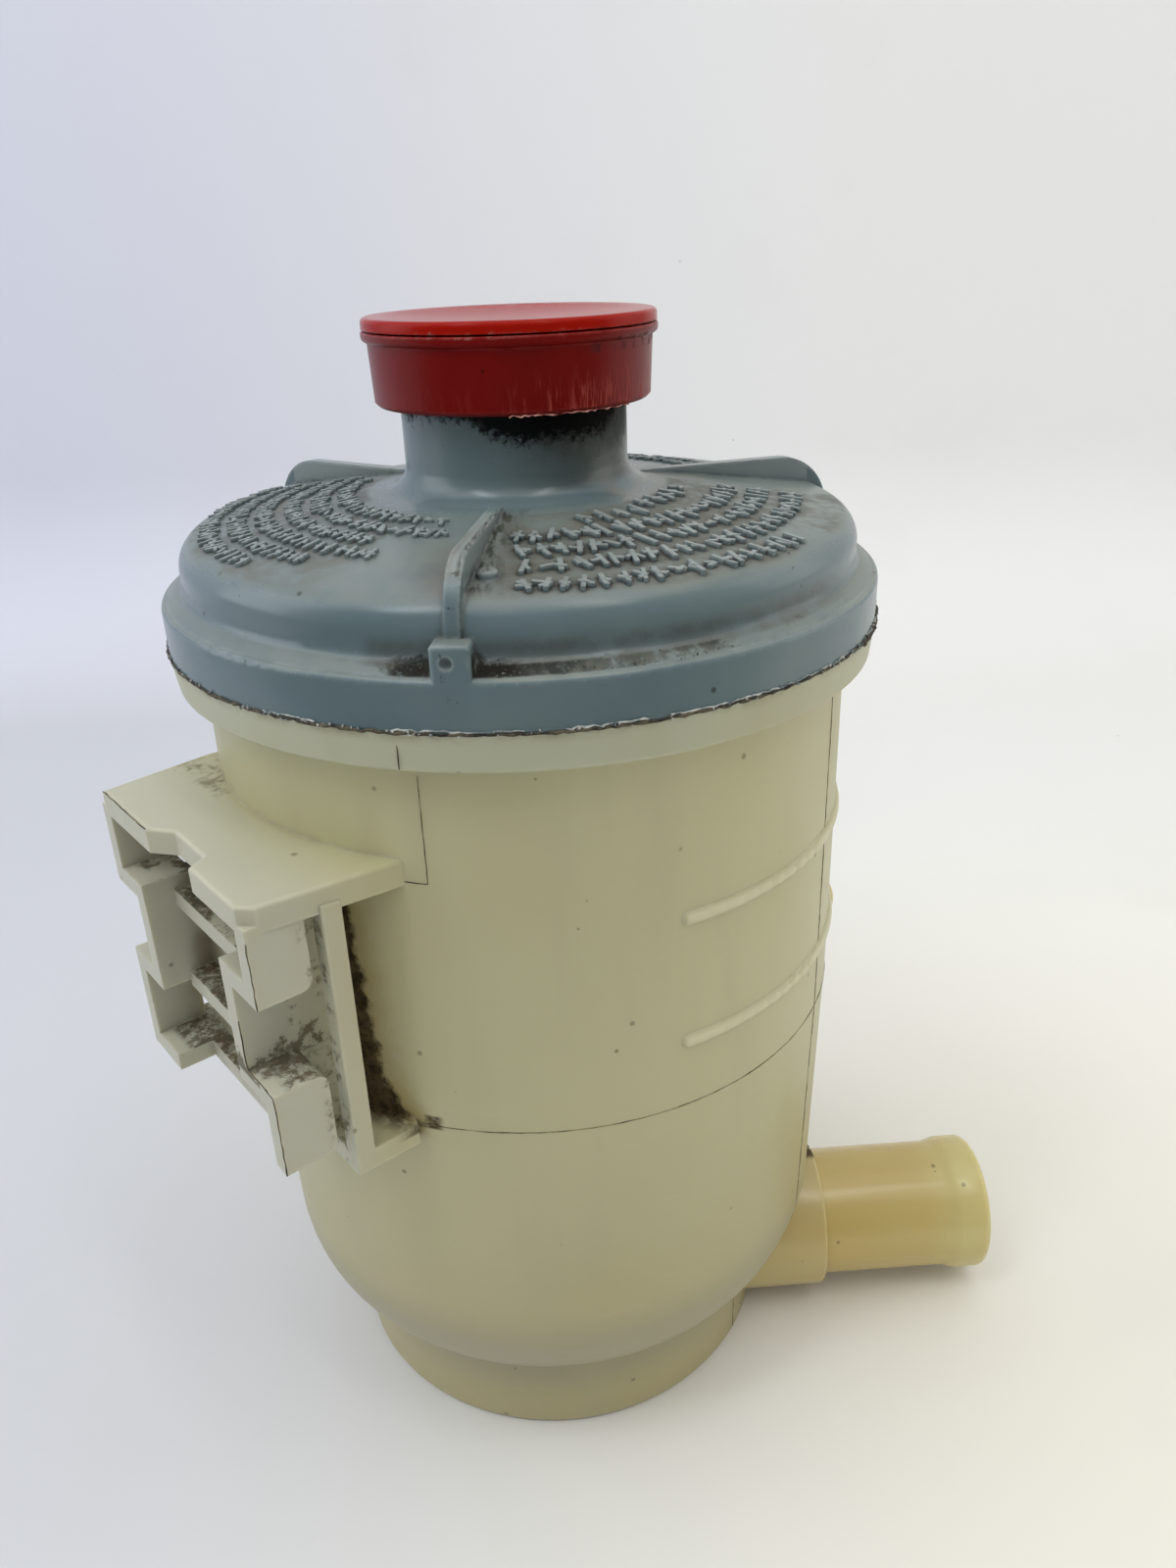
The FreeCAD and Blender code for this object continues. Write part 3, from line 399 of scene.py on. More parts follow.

    # Specks, scuffs, and edges rubbed pale with a painted highlight along them
    specks = net.use(SPECKS, Place=place, Scale=210.0, Share=0.07, Size=0.08)
    fine = net.use(SPECKS, Place=place, Scale=520.0, Share=0.05, Size=0.20)
    colour = net.tint(net.times(net.most(specks, fine), 0.6), colour, tone(96, 84, 58))
    scuff = net.noise(net.vector("MULTIPLY", place, (1.0, 1.0, 6.0)), 90.0, 5.0, 0.7)
    colour = net.tint(net.times(net.rise(scuff, 0.60, 0.75), 0.08), colour, tone(206, 202, 176))
    # Pale edges: partly rubbing, partly a painted highlight
    wear_and_highlight = net.use(EDGE_WEAR_AND_HIGHLIGHT, Radius=0.0005, Place=place)
    colour = net.tint(net.times(wear_and_highlight, net.calc("SUBTRACT", 1.0, dirt), 0.45), colour, tone(222, 220, 198))

    height = net.calc("ADD", net.use(SKIN, Place=place, Grain=1300.0), net.times(dirt, ragged, 3.0))
    net.feed(shader.inputs["Specular IOR Level"], net.calc("MULTIPLY_ADD", dirt, -0.42, 0.5))
    roughness = net.calc("MULTIPLY_ADD", on_pipe, -0.20, 0.36)
    roughness = net.calc("ADD", roughness, net.calc("MULTIPLY", dirt, 0.45))
    roughness = net.calc("ADD", roughness, net.calc("MULTIPLY", net.rise(cloud, 0.35, 0.7), 0.10))
    finish_surface(net, shader, colour, roughness, height, 0.05, 0.00035)
    net.feed(shader.inputs["Subsurface Weight"], net.calc("MULTIPLY_ADD", dirt, -0.25, 0.25))
    shader.inputs["Subsurface Radius"].default_value = (1.0, 0.85, 0.5)
    shader.inputs["Subsurface Scale"].default_value = 0.002
    shader.inputs["IOR"].default_value = 1.48
    return material


def lid_material():
    """Blue-grey moulding of the lid, dusty on top and sooty under the cap."""
    material, net, shader, place = new_material("lid_grey")
    x, y, z, reach, azimuth = spread_out(net, place)

    # Places on the lid in metres, each as low, high and soft edge
    rows_out, bars_out = (0.0195, 0.0405, 0.0010), (0.0195, 0.0400, 0.0004)
    shoulder_up, groove_out = (0.1214, 0.1250, 0.0006), (0.0435, 0.0444, 0.0003)
    cove_up, cove_out = (0.1214, 0.1252, 0.0016), (0.0419, 0.0436, 0.0004)
    rib_thick, rib_out = (-0.0008, 0.0008, 0.0002), (0.0300, 0.0390, 0.004)
    block_out, fillet_out = (0.0422, 0.0444, 0.0004), (0.0145, 0.0185, 0.001)
    front_rib = math.radians(front_rib_azimuth)

    cloud = net.noise(place, 40.0, 3.0)
    ragged = net.noise(place, 420.0, 5.0, 0.7)
    coarse = net.noise(place, 110.0, 3.0)
    grimy = net.calc("MULTIPLY_ADD", ragged, 0.6, net.calc("MULTIPLY", coarse, 0.6))
    colour = net.tint(net.rise(cloud, 0.35, 0.7), tone(88, 106, 111), tone(99, 115, 117))
    upward = net.rise(facing_up(net), 0.45, 0.95)
    right_side = net.within(azimuth, math.radians(-98.0), math.radians(20.0), 0.08)

    # Dust on what faces up, more to the right of the front rib
    clear_base = net.rise(reach, 0.0150, 0.0225)
    dust = net.times(upward, clear_base, net.calc("MULTIPLY_ADD", net.rise(grimy, 0.40, 0.80), 0.5, 0.35),
                     net.calc("MULTIPLY_ADD", right_side, 0.30, 0.70))
    colour = net.tint(dust, colour, tone(131, 136, 124))

    # Dirt between and at the feet of the raised marks
    rows = net.times(net.within(reach, *rows_out), upward)
    rows_right = net.times(rows, net.within(azimuth, math.radians(-93.0), math.radians(-3.0), 0.05))
    rows_left = net.times(rows, net.most(net.fall(azimuth, math.radians(-128.0), math.radians(-118.0)),
                                         net.rise(azimuth, math.radians(148.0), math.radians(156.0))))
    cone = net.calc("MULTIPLY_ADD", reach, -dome_slope, (dome_root_z + dome_slope * dome_root_reach) * MM)
    above = net.calc("SUBTRACT", z, cone)
    either_side = net.most(rows_right, net.times(rows_left, 0.75))
    in_rows = net.times(either_side, net.fall(above, 0.00012, 0.00030))
    between = net.times(in_rows, net.rise(grimy, 0.44, 0.74), 0.62)
    colour = net.tint(between, colour, tone(84, 79, 67))
    feet = net.use(AROUND, Place=place, Reach=0.0020, Low=0.03, Grain=900.0)
    colour = net.tint(net.times(in_rows, feet, 0.95), colour, tone(48, 43, 35))
    on_bar = net.times(net.rise(above, 0.00025, 0.00038), net.within(reach, *bars_out))
    colour = net.tint(net.times(on_bar, 0.6), colour, tone(140, 149, 146))

    # Shoulder groove, thinning out away from the front block
    block_turn = net.calc("SUBTRACT", azimuth, front_rib)
    away = net.calc("ABSOLUTE", block_turn)
    to_right = net.rise(block_turn, -0.01, 0.01)
    far = net.calc("DIVIDE", away, net.calc("MULTIPLY_ADD", to_right, 0.95, 0.22))
    thin = net.calc("MULTIPLY_ADD", far, 0.26, 0.40)
    shoulder = net.times(net.within(z, *shoulder_up), net.fall(far, 0.85, 1.1))
    groove = net.times(net.within(reach, *groove_out), shoulder)
    silt = net.times(groove, net.rise(grimy, thin, net.calc("ADD", thin, 0.16)))
    greyed = net.calc("MULTIPLY_ADD", net.rise(grimy, 0.42, 0.70), 0.7, 0.3)
    cove = net.times(net.within(reach, *cove_out), net.within(z, *cove_up), net.fall(far, 0.85, 1.1), greyed)
    colour = net.tint(net.times(cove, 0.6), colour, tone(70, 72, 66))
    silt_colour = net.tint(net.rise(ragged, 0.45, 0.65), tone(40, 39, 34), tone(92, 91, 82))
    colour = net.tint(net.times(silt, 0.85), colour, silt_colour)

    # Both sides of the front rib and its block
    beside = net.calc("SUBTRACT", net.calc("MULTIPLY", y, math.cos(front_rib)),
                      net.calc("MULTIPLY", x, math.sin(front_rib)))
    front = net.fall(y, -0.018, -0.016)
    streaks = net.noise(net.vector("MULTIPLY", place, (1.6, 0.35, 1.0)), 900.0, 4.0, 0.6)
    near_rib = net.times(net.fall(beside, 0.0012, 0.0056), net.rise(beside, 0.0, 0.0004), front, upward,
                         net.fall(reach, 0.0385, 0.0415))
    rib_side = net.times(near_rib, net.calc("MULTIPLY_ADD", net.rise(streaks, 0.40, 0.62), 0.75, 0.25))
    left_rib = net.times(net.rise(beside, -0.0065, -0.0010), net.fall(beside, -0.0006, 0.0), front, upward,
                         net.within(reach, *rib_out), 0.35)
    block_side = net.times(net.fall(net.calc("MULTIPLY_ADD", net.calc("SUBTRACT", grimy, 0.6), -0.36, away),
                                    0.100, 0.160),
                           net.within(reach, *block_out),
                           net.fall(net.calc("MULTIPLY_ADD", net.calc("SUBTRACT", ragged, 0.5), 0.0050, z),
                                    0.1237, 0.1246))
    flecks = net.times(net.within(beside, *rib_thick), front, net.rise(reach, 0.0385, 0.0395),
                       net.rise(ragged, 0.60, 0.66))
    colour = net.tint(net.times(net.most(rib_side, flecks), 0.85), colour, tone(54, 49, 40))
    colour = net.tint(left_rib, colour, tone(112, 98, 84))
    colour = net.tint(net.times(block_side, 0.92), colour, tone(34, 31, 27))

    # Soot round the neck under the cap, heaviest right of the front; painted shade on the neck's right side
    on_neck = net.times(net.fall(reach, 0.0146, 0.0150), net.rise(z, 0.1340, 0.1352))
    heavy = net.within(azimuth, math.radians(-88.0), math.radians(-50.0), 0.55)
    edge = net.calc("MULTIPLY_ADD", heavy, -0.0026, 0.1430)
    lifted = net.calc("MULTIPLY_ADD", net.calc("SUBTRACT", grimy, 0.6), 0.0036, z)
    dusting = net.calc("SUBTRACT", net.noise(place, 1500.0, 4.0, 0.7), 0.5)
    powder = net.calc("MULTIPLY_ADD", dusting, 0.0050, lifted)
    sooty = net.rise(powder, net.calc("SUBTRACT", edge, 0.0012), net.calc("ADD", edge, 0.0008))
    soot = net.times(on_neck, net.fall(z, 0.1438, 0.1446), sooty)
    right_neck = net.within(azimuth, math.radians(-72.0), math.radians(-20.0), 0.3)
    hazy = net.rise(net.calc("MULTIPLY_ADD", grimy, 0.010, z), 0.1420, 0.1475)
    haze = net.times(on_neck, right_neck, hazy, 0.8)
    blotch = net.times(on_neck, right_neck, net.rise(coarse, 0.54, 0.70), 0.5)
    # Painted shade darkening the neck towards its right side
    shade = net.times(on_neck, net.rise(azimuth, math.radians(-105.0), math.radians(-45.0)), 0.85)
    colour = net.tint(shade, colour, tone(57, 65, 59))
    colour = net.tint(net.most(haze, blotch), colour, tone(50, 52, 46))
    colour = net.tint(net.times(soot, 0.97), colour, tone(9, 9, 9))
    fillet = net.times(net.within(reach, *fillet_out), net.within(azimuth, -0.75, 0.6, 0.3),
                       net.rise(grimy, 0.42, 0.68), upward)
    colour = net.tint(net.times(fillet, 0.55), colour, tone(112, 104, 88))

    corner = net.use(CREVICE, Place=place, Reach=0.0022, Low=0.32, Grain=800.0)
    colour = net.tint(net.times(corner, 0.65), colour, tone(60, 59, 52))
    # Edges rubbed pale, with a painted highlight along the skirt's top edge
    wear_and_highlight = net.use(EDGE_WEAR_AND_HIGHLIGHT, Radius=0.0006, Place=place)
    colour = net.tint(net.times(wear_and_highlight, 0.6), colour, tone(168, 179, 178))
    specks = net.use(SPECKS, Place=place, Scale=240.0, Share=0.06, Size=0.08)
    fine = net.use(SPECKS, Place=place, Scale=700.0, Share=0.04, Size=0.22)
    colour = net.tint(net.times(net.most(specks, fine), 0.7), colour, tone(44, 46, 44))

    dirt = net.most(silt, rib_side, block_side, soot)
    height = net.calc("ADD", net.use(SKIN, Place=place, Grain=1500.0), net.times(dirt, ragged, 3.0))
    height = net.calc("MULTIPLY_ADD", corner, 0.3, height)
    net.feed(shader.inputs["Specular IOR Level"], net.calc("MULTIPLY_ADD", net.most(dirt, haze), -0.42, 0.5))
    roughness = net.calc("ADD", 0.24, net.calc("MULTIPLY", net.most(dirt, between, corner, haze), 0.5))
    roughness = net.calc("ADD", roughness, net.times(dust, 0.22))
    finish_surface(net, shader, colour, roughness, height, 0.05, 0.0004)
    shader.inputs["IOR"].default_value = 1.5
    return material


def cap_material():
    """Deep red, semi-gloss, with dust in the groove and rubbing near the hem."""
    material, net, shader, place = new_material("cap_red")
    z, reach, azimuth = spread_out(net, place)[2:]
    seam_up, under_rim_up = (0.1518, 0.1523, 0.0003), (0.1498, 0.1510, 0.0004)
    cloud = net.noise(place, 60.0, 3.0)
    ragged = net.noise(place, 600.0, 5.0, 0.7)
    colour = net.tint(net.rise(cloud, 0.35, 0.7), tone(106, 4, 1), tone(118, 8, 3))
    in_bowl = net.fall(reach, 0.0150, 0.0158)
    top = net.most(net.rise(z, 0.1516, 0.1524), net.times(in_bowl, net.rise(z, 0.1500, 0.1508)))
    colour = net.tint(net.times(top, 0.85), colour, tone(156, 20, 6))
    stretched = net.node("ShaderNodeCombineXYZ", {"X": net.calc("MULTIPLY", azimuth, 0.0170),
                                                  "Y": reach, "Z": net.calc("MULTIPLY", z, 0.12)}).outputs[0]
    lines = net.noise(stretched, 1900.0, 3.0, 0.7)
    hem = net.fall(net.calc("MULTIPLY_ADD", lines, -0.006, z), 0.1405, 0.1450)
    rubbed_side = net.within(azimuth, math.radians(-80.0), math.radians(-15.0), 0.25)
    scratch = net.times(net.rise(lines, 0.50, 0.62), hem, net.calc("MULTIPLY_ADD", rubbed_side, 0.85, 0.15))
    colour = net.tint(net.times(scratch, 0.4), colour, tone(182, 78, 66))
    groove = net.times(net.within(z, *seam_up), net.calc("SUBTRACT", 1.0, in_bowl))
    dust = net.times(groove, net.rise(ragged, 0.50, 0.70))
    colour = net.tint(net.times(dust, 0.6), colour, net.tint(net.rise(cloud, 0.4, 0.6), tone(60, 10, 8),
                                                             tone(196, 160, 150)))
    smear = net.times(net.within(z, *under_rim_up), net.within(azimuth, -0.95, -0.25, 0.15),
                      net.rise(ragged, 0.48, 0.66))
    colour = net.tint(net.times(smear, 0.6), colour, tone(50, 8, 8))
    specks = net.use(SPECKS, Place=place, Scale=620.0, Share=0.05, Size=0.15)
    colour = net.tint(net.times(specks, 0.7), colour, tone(44, 6, 6))
    # Edges rubbed pale, with a painted highlight line along the rim
    wear_and_highlight = net.use(EDGE_WEAR_AND_HIGHLIGHT, Radius=0.0004, Place=place)
    colour = net.tint(net.times(wear_and_highlight, 0.35), colour, tone(214, 96, 84))
    height = net.calc("ADD", net.use(SKIN, Place=place, Grain=1700.0), net.times(scratch, 0.5))
    net.feed(shader.inputs["Specular IOR Level"], net.calc("MULTIPLY_ADD", top, -0.12, 0.25))
    roughness = net.calc("MULTIPLY_ADD", top, -0.12, 0.30)
    roughness = net.calc("ADD", roughness, net.calc("MULTIPLY", net.most(scratch, dust, smear), 0.35))
    finish_surface(net, shader, colour, roughness, height, 0.04, 0.0003)
    shader.inputs["IOR"].default_value = 1.42
    return material


def plain_material(name, first, second, scale, rough, depth=0.05):
    """A two-tone moulded or pressed surface with grain."""
    material, net, shader, place = new_material(name)
    patch = net.noise(place, scale, 4.0)
    fine = net.use(SPECKS, Place=place, Scale=scale * 3, Share=0.05, Size=0.22)
    colour = net.tint(net.rise(patch, 0.35, 0.7), first, second)
    colour = net.tint(net.times(fine, 0.5), colour, tone(60, 54, 44))
    height = net.use(SKIN, Place=place, Grain=scale * 8)
    roughness = net.calc("MULTIPLY_ADD", patch, 0.15, rough)
    finish_surface(net, shader, colour, roughness, height, depth)
    return material


def mesh_material():
    """Fine woven mesh: pale threads over dark holes."""
    material, net, shader, place = new_material("screen_mesh")
    pitch = 2 * math.pi / (0.35 * MM)
    axes = net.node("ShaderNodeSeparateXYZ", {"Vector": place}).outputs
    along = net.calc("SINE", net.calc("MULTIPLY", net.calc("ADD", axes[0], axes[2]), pitch))
    across = net.calc("SINE", net.calc("MULTIPLY", net.calc("SUBTRACT", axes[1], axes[2]), pitch))
    thread = net.rise(net.most(along, across), 0.1, 0.5)
    colour = net.tint(thread, tone(70, 66, 54), tone(196, 192, 176))
    finish_surface(net, shader, colour, 0.5, thread, 0.05)
    return material


def flash_material(name, dark, light, scale=900.0):
    """Ragged waste: crumbs, weld flash and grit."""
    material, net, shader, place = new_material(name)
    patch = net.noise(place, scale, 4.0, 0.65)
    colour = net.tint(net.rise(patch, 0.36, 0.64), dark, light)
    finish_surface(net, shader, colour, 0.75, patch, 0.08)
    return material


def geometry_tree(name, inputs):
    """An empty geometry tree with a mesh in, a mesh out and the named inputs."""
    tree = bpy.data.node_groups.new(name, "GeometryNodeTree")
    tree.interface.new_socket("Geometry", in_out="INPUT", socket_type="NodeSocketGeometry")
    for label, kind in inputs.items():
        tree.interface.new_socket(label, in_out="INPUT", socket_type="NodeSocket" + kind)
    tree.interface.new_socket("Geometry", in_out="OUTPUT", socket_type="NodeSocketGeometry")
    net = Net(tree)
    return net, net.node("NodeGroupInput").outputs, net.node("NodeGroupOutput").inputs[0]


def close_tree(net, geometry, given, result):
    """Realize and give the material."""
    solid = net.node("GeometryNodeRealizeInstances", {"Geometry": geometry}).outputs[0]
    painted = net.node("GeometryNodeSetMaterial", {"Geometry": solid, "Material": given["Material"]})
    net.feed(result, painted.outputs[0])
    return net.tree


def bead_tree():
    """A lumpy bead along a path."""
    net, given, result = geometry_tree("bead_along_path", {
        "Radius": "Float", "Step": "Float", "Wander": "Float", "Lumps": "Float", "Seed": "Int",
        "Material": "Material"})
    path = net.node("GeometryNodeMeshToCurve", {"Mesh": given["Geometry"]}).outputs[0]
    path = net.node("GeometryNodeResampleCurve", {"Curve": path, "Length": given["Step"]},
                    mode="LENGTH").outputs[0]
    shift = net.scaled(net.random((-1, -1, -1), (1, 1, 1), given["Seed"]), given["Wander"])
    path = net.node("GeometryNodeSetPosition", {"Geometry": path, "Offset": shift}).outputs[0]
    ring = net.node("GeometryNodeCurvePrimitiveCircle", {"Resolution": 6, "Radius": given["Radius"]})
    bead = net.node("GeometryNodeCurveToMesh",
                    {"Curve": path, "Profile Curve": ring.outputs[0], "Fill Caps": True}).outputs[0]
    wobble = net.node("ShaderNodeTexNoise", {"Scale": 900.0, "Detail": 3.0})
    swell = net.calc("MULTIPLY", net.calc("SUBTRACT", wobble.outputs[0], 0.5), given["Lumps"])
    return close_tree(net, net.pushed(bead, swell), given, result)


def grit_tree():
    """Crumbs scattered over faces."""
    net, given, result = geometry_tree("grit_on_faces", {
        "Density": "Float", "Size": "Float", "Seed": "Int", "Material": "Material"})
    points = net.node("GeometryNodeDistributePointsOnFaces", {
        "Mesh": given["Geometry"], "Density": given["Density"], "Seed": given["Seed"]})
    crumb = net.node("GeometryNodeMeshIcoSphere", {"Radius": given["Size"], "Subdivisions": 2}).outputs[0]
    bumpy = net.node("ShaderNodeTexNoise", {"Scale": 2600.0, "Detail": 2.0})
    depth = net.calc("MULTIPLY", given["Size"], 1.6)
    crumb = net.pushed(crumb, net.calc("MULTIPLY", net.calc("SUBTRACT", bumpy.outputs[0], 0.5), depth))
    size = net.random((0.35, 0.25, 0.25), (1.5, 1.0, 0.8), given["Seed"])
    turn = net.random((0, 0, 0), (6.28, 6.28, 6.28), net.calc("ADD", given["Seed"], 7.0))
    scattered = net.node("GeometryNodeInstanceOnPoints", {
        "Points": points.outputs[0], "Instance": crumb, "Rotation": turn, "Scale": size})
    return close_tree(net, scattered.outputs[0], given, result)


def mark_tree():
    """Small raised bars along a row, lying on the lid's cone."""
    net, given, result = geometry_tree("bars_along_row", {
        "Pitch": "Float", "Bar": "Vector", "Slope": "Float", "Seed": "Int", "Material": "Material"})
    path = net.node("GeometryNodeMeshToCurve", {"Mesh": given["Geometry"]}).outputs[0]
    points = net.node("GeometryNodeCurveToPoints", {"Curve": path, "Length": given["Pitch"]}, mode="LENGTH")
    where = net.node("GeometryNodeInputPosition").outputs[0]
    flat = net.node("ShaderNodeVectorMath", {0: where, 1: (1, 1, 0)}, operation="MULTIPLY").outputs[0]
    outward = net.node("ShaderNodeVectorMath", {0: flat}, operation="NORMALIZE").outputs[0]
    leaned = net.scaled(outward, given["Slope"])
    up = net.node("ShaderNodeVectorMath", {0: leaned, 1: (0, 0, 1)}, operation="ADD").outputs[0]
    turn = net.node("FunctionNodeAlignRotationToVector", {"Vector": outward}, axis="X").outputs[0]
    turn = net.node("FunctionNodeAlignRotationToVector", {"Rotation": turn, "Vector": up},
                    axis="Z", pivot_axis="AUTO").outputs[0]
    bar = net.node("GeometryNodeMeshCube", {"Size": given["Bar"]}).outputs[0]
    strokes = net.node("GeometryNodeJoinGeometry")
    # Seed offset, lean, spread, shortest and longest share of a bar, radial shift
    families = ((0.0, 0.0, 0.35, 0.65, 1.0, 0.0002), (20.0, math.pi / 2, 0.6, 0.25, 0.50, 0.0011),
                (40.0, 0.8, 0.5, 0.3, 0.65, 0.0008))
    for offset, lean, spread_angle, shortest, longest, shift in families:
        seed = net.calc("ADD", given["Seed"], offset)
        size = net.random((shortest, 0.8, 0.8), (longest, 1.1, 1.0), seed)
        slide = net.random((-shift, -0.0004, 0.0), (shift, 0.0004, 0.0), net.calc("ADD", seed, 3.0))
        swing = net.random((0.0, 0.0, lean - spread_angle), (0.0, 0.0, lean + spread_angle),
                           net.calc("ADD", seed, 5.0))
        kept = net.node("FunctionNodeRandomValue",
                        {"Seed": net.calc("ADD", seed, 9.0), "Probability": 0.86}, data_type="BOOLEAN")
        row = net.node("GeometryNodeInstanceOnPoints", {
            "Points": points.outputs[0], "Instance": bar, "Rotation": turn, "Scale": size,
            "Selection": kept.outputs[3]})
        row = net.node("GeometryNodeTranslateInstances", {"Instances": row.outputs[0], "Translation": slide})
        row = net.node("GeometryNodeRotateInstances", {"Instances": row.outputs[0], "Rotation": swing})
        net.feed(strokes.inputs[0], row.outputs[0])
    return close_tree(net, strokes.outputs[0], given, result)


def new_object(name, mesh):
    made = bpy.data.objects.new(name, mesh)
    bpy.context.scene.collection.objects.link(made)
    return made


def path_mesh(name, rows):
    """Edges along one or more open rows of points."""
    points, edges = [], []
    for row in rows:
        first = len(points)
        points += [tuple(p) for p in row]
        edges += [(i, i + 1) for i in range(first, len(points) - 1)]
    mesh = bpy.data.meshes.new(name)
    mesh.from_pydata(points, edges, [])
    return mesh


def strip_mesh(name, strips):
    """Faces between pairs of equally long rows of points."""
    points, faces = [], []
    for low, high in strips:
        first = len(points)
        points += [tuple(p) for p in low] + [tuple(p) for p in high]
        count = len(low)
        faces += [(first + i, first + i + 1, first + count + i + 1, first + count + i)
                  for i in range(count - 1)]
    mesh = bpy.data.meshes.new(name)
    mesh.from_pydata(points, [], faces)
    return mesh


def grow(name, mesh, tree, inputs, body, smooth=True):
    """Run a geometry tree on a mesh once and keep the result as a plain piece."""
    carrier = new_object(name + "_carrier", mesh)
    modifier = carrier.modifiers.new("grow", "NODES")
    modifier.node_group = tree
    sockets = {item.name: item.identifier for item in tree.interface.items_tree if item.in_out == "INPUT"}
    for label, value in inputs.items():
        modifier[sockets[label]] = value
    carrier.update_tag()
    graph = bpy.context.evaluated_depsgraph_get()
    grown = bpy.data.meshes.new_from_object(carrier.evaluated_get(graph))
    bpy.data.objects.remove(carrier)
    if smooth:
        grown.shade_smooth()
    piece = new_object(name, grown)
    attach(piece, body)
    return piece


def smooth_copy(node, name, body, material, sharp=30.0):
    """The node's own mesh with its triangles joined and smoothly shaded."""
    shape = bmesh.new()
    shape.from_mesh(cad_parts[node].data)
    bmesh.ops.remove_doubles(shape, verts=shape.verts, dist=2e-6)
    mesh = bpy.data.meshes.new(name)
    shape.to_mesh(mesh)
    shape.free()
    custom = mesh.attributes.get("custom_normal")
    if custom:
        mesh.attributes.remove(custom)
    mesh.shade_smooth()
    mesh.set_sharp_from_angle(angle=math.radians(sharp))
    mesh.materials.clear()
    mesh.materials.append(material)
    piece = new_object(name, mesh)
    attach(piece, body)
    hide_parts(node)
    return piece


def arc(reach, start, end, z, step=1.5):
    """Points round the tank at one height."""
    count = max(2, int(abs(end - start) / step) + 1)
    return [polar(reach, start + (end - start) * i / (count - 1), z) for i in range(count)]


def tank_radius(z):
    """Outside radius of the tank wall at a height."""
    bulge_centre, bulge_arc, bulge_top, draft = 22.6, 18.4, 29.0, 0.9
    if z < bulge_top:
        return bulge_centre + math.sqrt(max(bulge_arc ** 2 - (bulge_top - z) ** 2, 0))
    if z < mould_line_z:
        return mould_line_radius - draft * (mould_line_z - z) / (mould_line_z - bulge_top)
    return mould_line_radius


def upright_line(azimuth, low, high, steps=30):
    """Points up the tank wall."""
    heights = [low + (high - low) * i / steps for i in range(steps + 1)]
    return [polar(tank_radius(z), azimuth, z) for z in heights]


def on_bracket(out, across, z):
    """A point given in the bracket's own directions."""
    angle = math.radians(bracket_azimuth)
    return Vector((out * math.cos(angle) - across * math.sin(angle),
                   out * math.sin(angle) + across * math.cos(angle), z)) * MM


nylon = nylon_material()
lid_grey = lid_material()
cap_red = cap_material()
inner = plain_material("inner_nylon", tone(176, 172, 148), tone(196, 192, 170), 60.0, 0.45)
screen = mesh_material()
felt = plain_material("vent_felt", tone(196, 194, 186), tone(222, 220, 212), 300.0, 0.85, 0.2)
rubber = plain_material("seal_rubber", tone(28, 28, 28), tone(42, 41, 40), 150.0, 0.65)
ferrite = plain_material("ferrite", tone(44, 44, 46), tone(66, 65, 66), 220.0, 0.55, 0.1)
seam_dark = flash_material("seam_dark", tone(66, 56, 40), tone(156, 148, 114), 330.0)
hairline = flash_material("hairline", tone(40, 34, 26), tone(112, 102, 80), 420.0)
weld_dark = flash_material("weld_dark", tone(30, 26, 20), tone(92, 84, 66))
weld_pale = flash_material("weld_pale", tone(96, 108, 110), tone(190, 192, 184))
soil = flash_material("soil", tone(30, 22, 14), tone(92, 76, 50))
silt = flash_material("silt", tone(46, 45, 39), tone(112, 111, 100))
red_flash = flash_material("red_flash", tone(120, 20, 16), tone(206, 150, 138))

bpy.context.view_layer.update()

smooth_copy("tank_body", "tank_moulding", "tank", nylon)
smooth_copy("lid", "lid_moulding", "tank", lid_grey)
smooth_copy("cap_shell", "cap_moulding", "cap", cap_red)
smooth_copy("cap_disc", "cap_top_disc", "cap", cap_red)
for node, material in {
    "cap_seal": rubber, "cap_vent_pad": felt, "cap_splash_plate": inner, "neck_screen_frame": inner,
    "neck_screen_mesh": screen, "splash_baffle": inner, "return_diffuser": inner,
    "bottom_screen_lower": inner, "bottom_screen_mesh": screen, "bottom_screen_upper": inner,
    "sump_magnet": ferrite,
}.items():
    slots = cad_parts[node].data.materials
    slots.clear()
    slots.append(material)

bead = bead_tree()
grit = grit_tree()
bars = mark_tree()

# Weld line
weld_path = path_mesh("weld", [arc(flange_radius - 0.02, -180, 180, weld_z)])
grow("weld_line", weld_path, bead, {"Radius": 0.00018, "Step": 0.0006, "Wander": 0.00010, "Lumps": 0.0004,
                                    "Seed": 3, "Material": weld_dark}, "tank")
weld_band = strip_mesh("weld_band", [(arc(flange_radius, -180, 180, weld_z - 0.15),
                                      arc(flange_radius, -180, 180, weld_z + 0.35))])
grow("weld_crumbs", weld_band, grit, {"Density": 1.6e6, "Size": 0.00022, "Seed": 5, "Material": weld_pale},
     "tank")
right_band = strip_mesh("right_band", [(arc(flange_radius, -30, 25, weld_z - 0.5),
                                        arc(flange_radius, -30, 25, weld_z + 0.3))])
grow("weld_flash", right_band, grit, {"Density": 9.0e6, "Size": 0.00028, "Seed": 8, "Material": weld_dark},
     "tank")

ridge_starts_and_lengths = ((-128, 9), (-108, 17), (-86, 11), (-72, 34), (-30, 12))
ridge = path_mesh("ridge", [arc(flange_radius - 0.05, start, start + length, weld_z + 0.28)
                            for start, length in ridge_starts_and_lengths])
grow("weld_ridge", ridge, bead, {"Radius": 0.00010, "Step": 0.0007, "Wander": 0.00012, "Lumps": 0.0003,
                                 "Seed": 4, "Material": weld_pale}, "tank")
burr = path_mesh("burr", [arc(flange_radius - 0.1, -16, 12, weld_z + 0.2),
                          arc(flange_radius - 0.2, -14, 8, weld_z - 0.6)])
grow("weld_burr", burr, bead, {"Radius": 0.00030, "Step": 0.0007, "Wander": 0.00035, "Lumps": 0.0007,
                               "Seed": 9, "Material": weld_dark}, "tank")

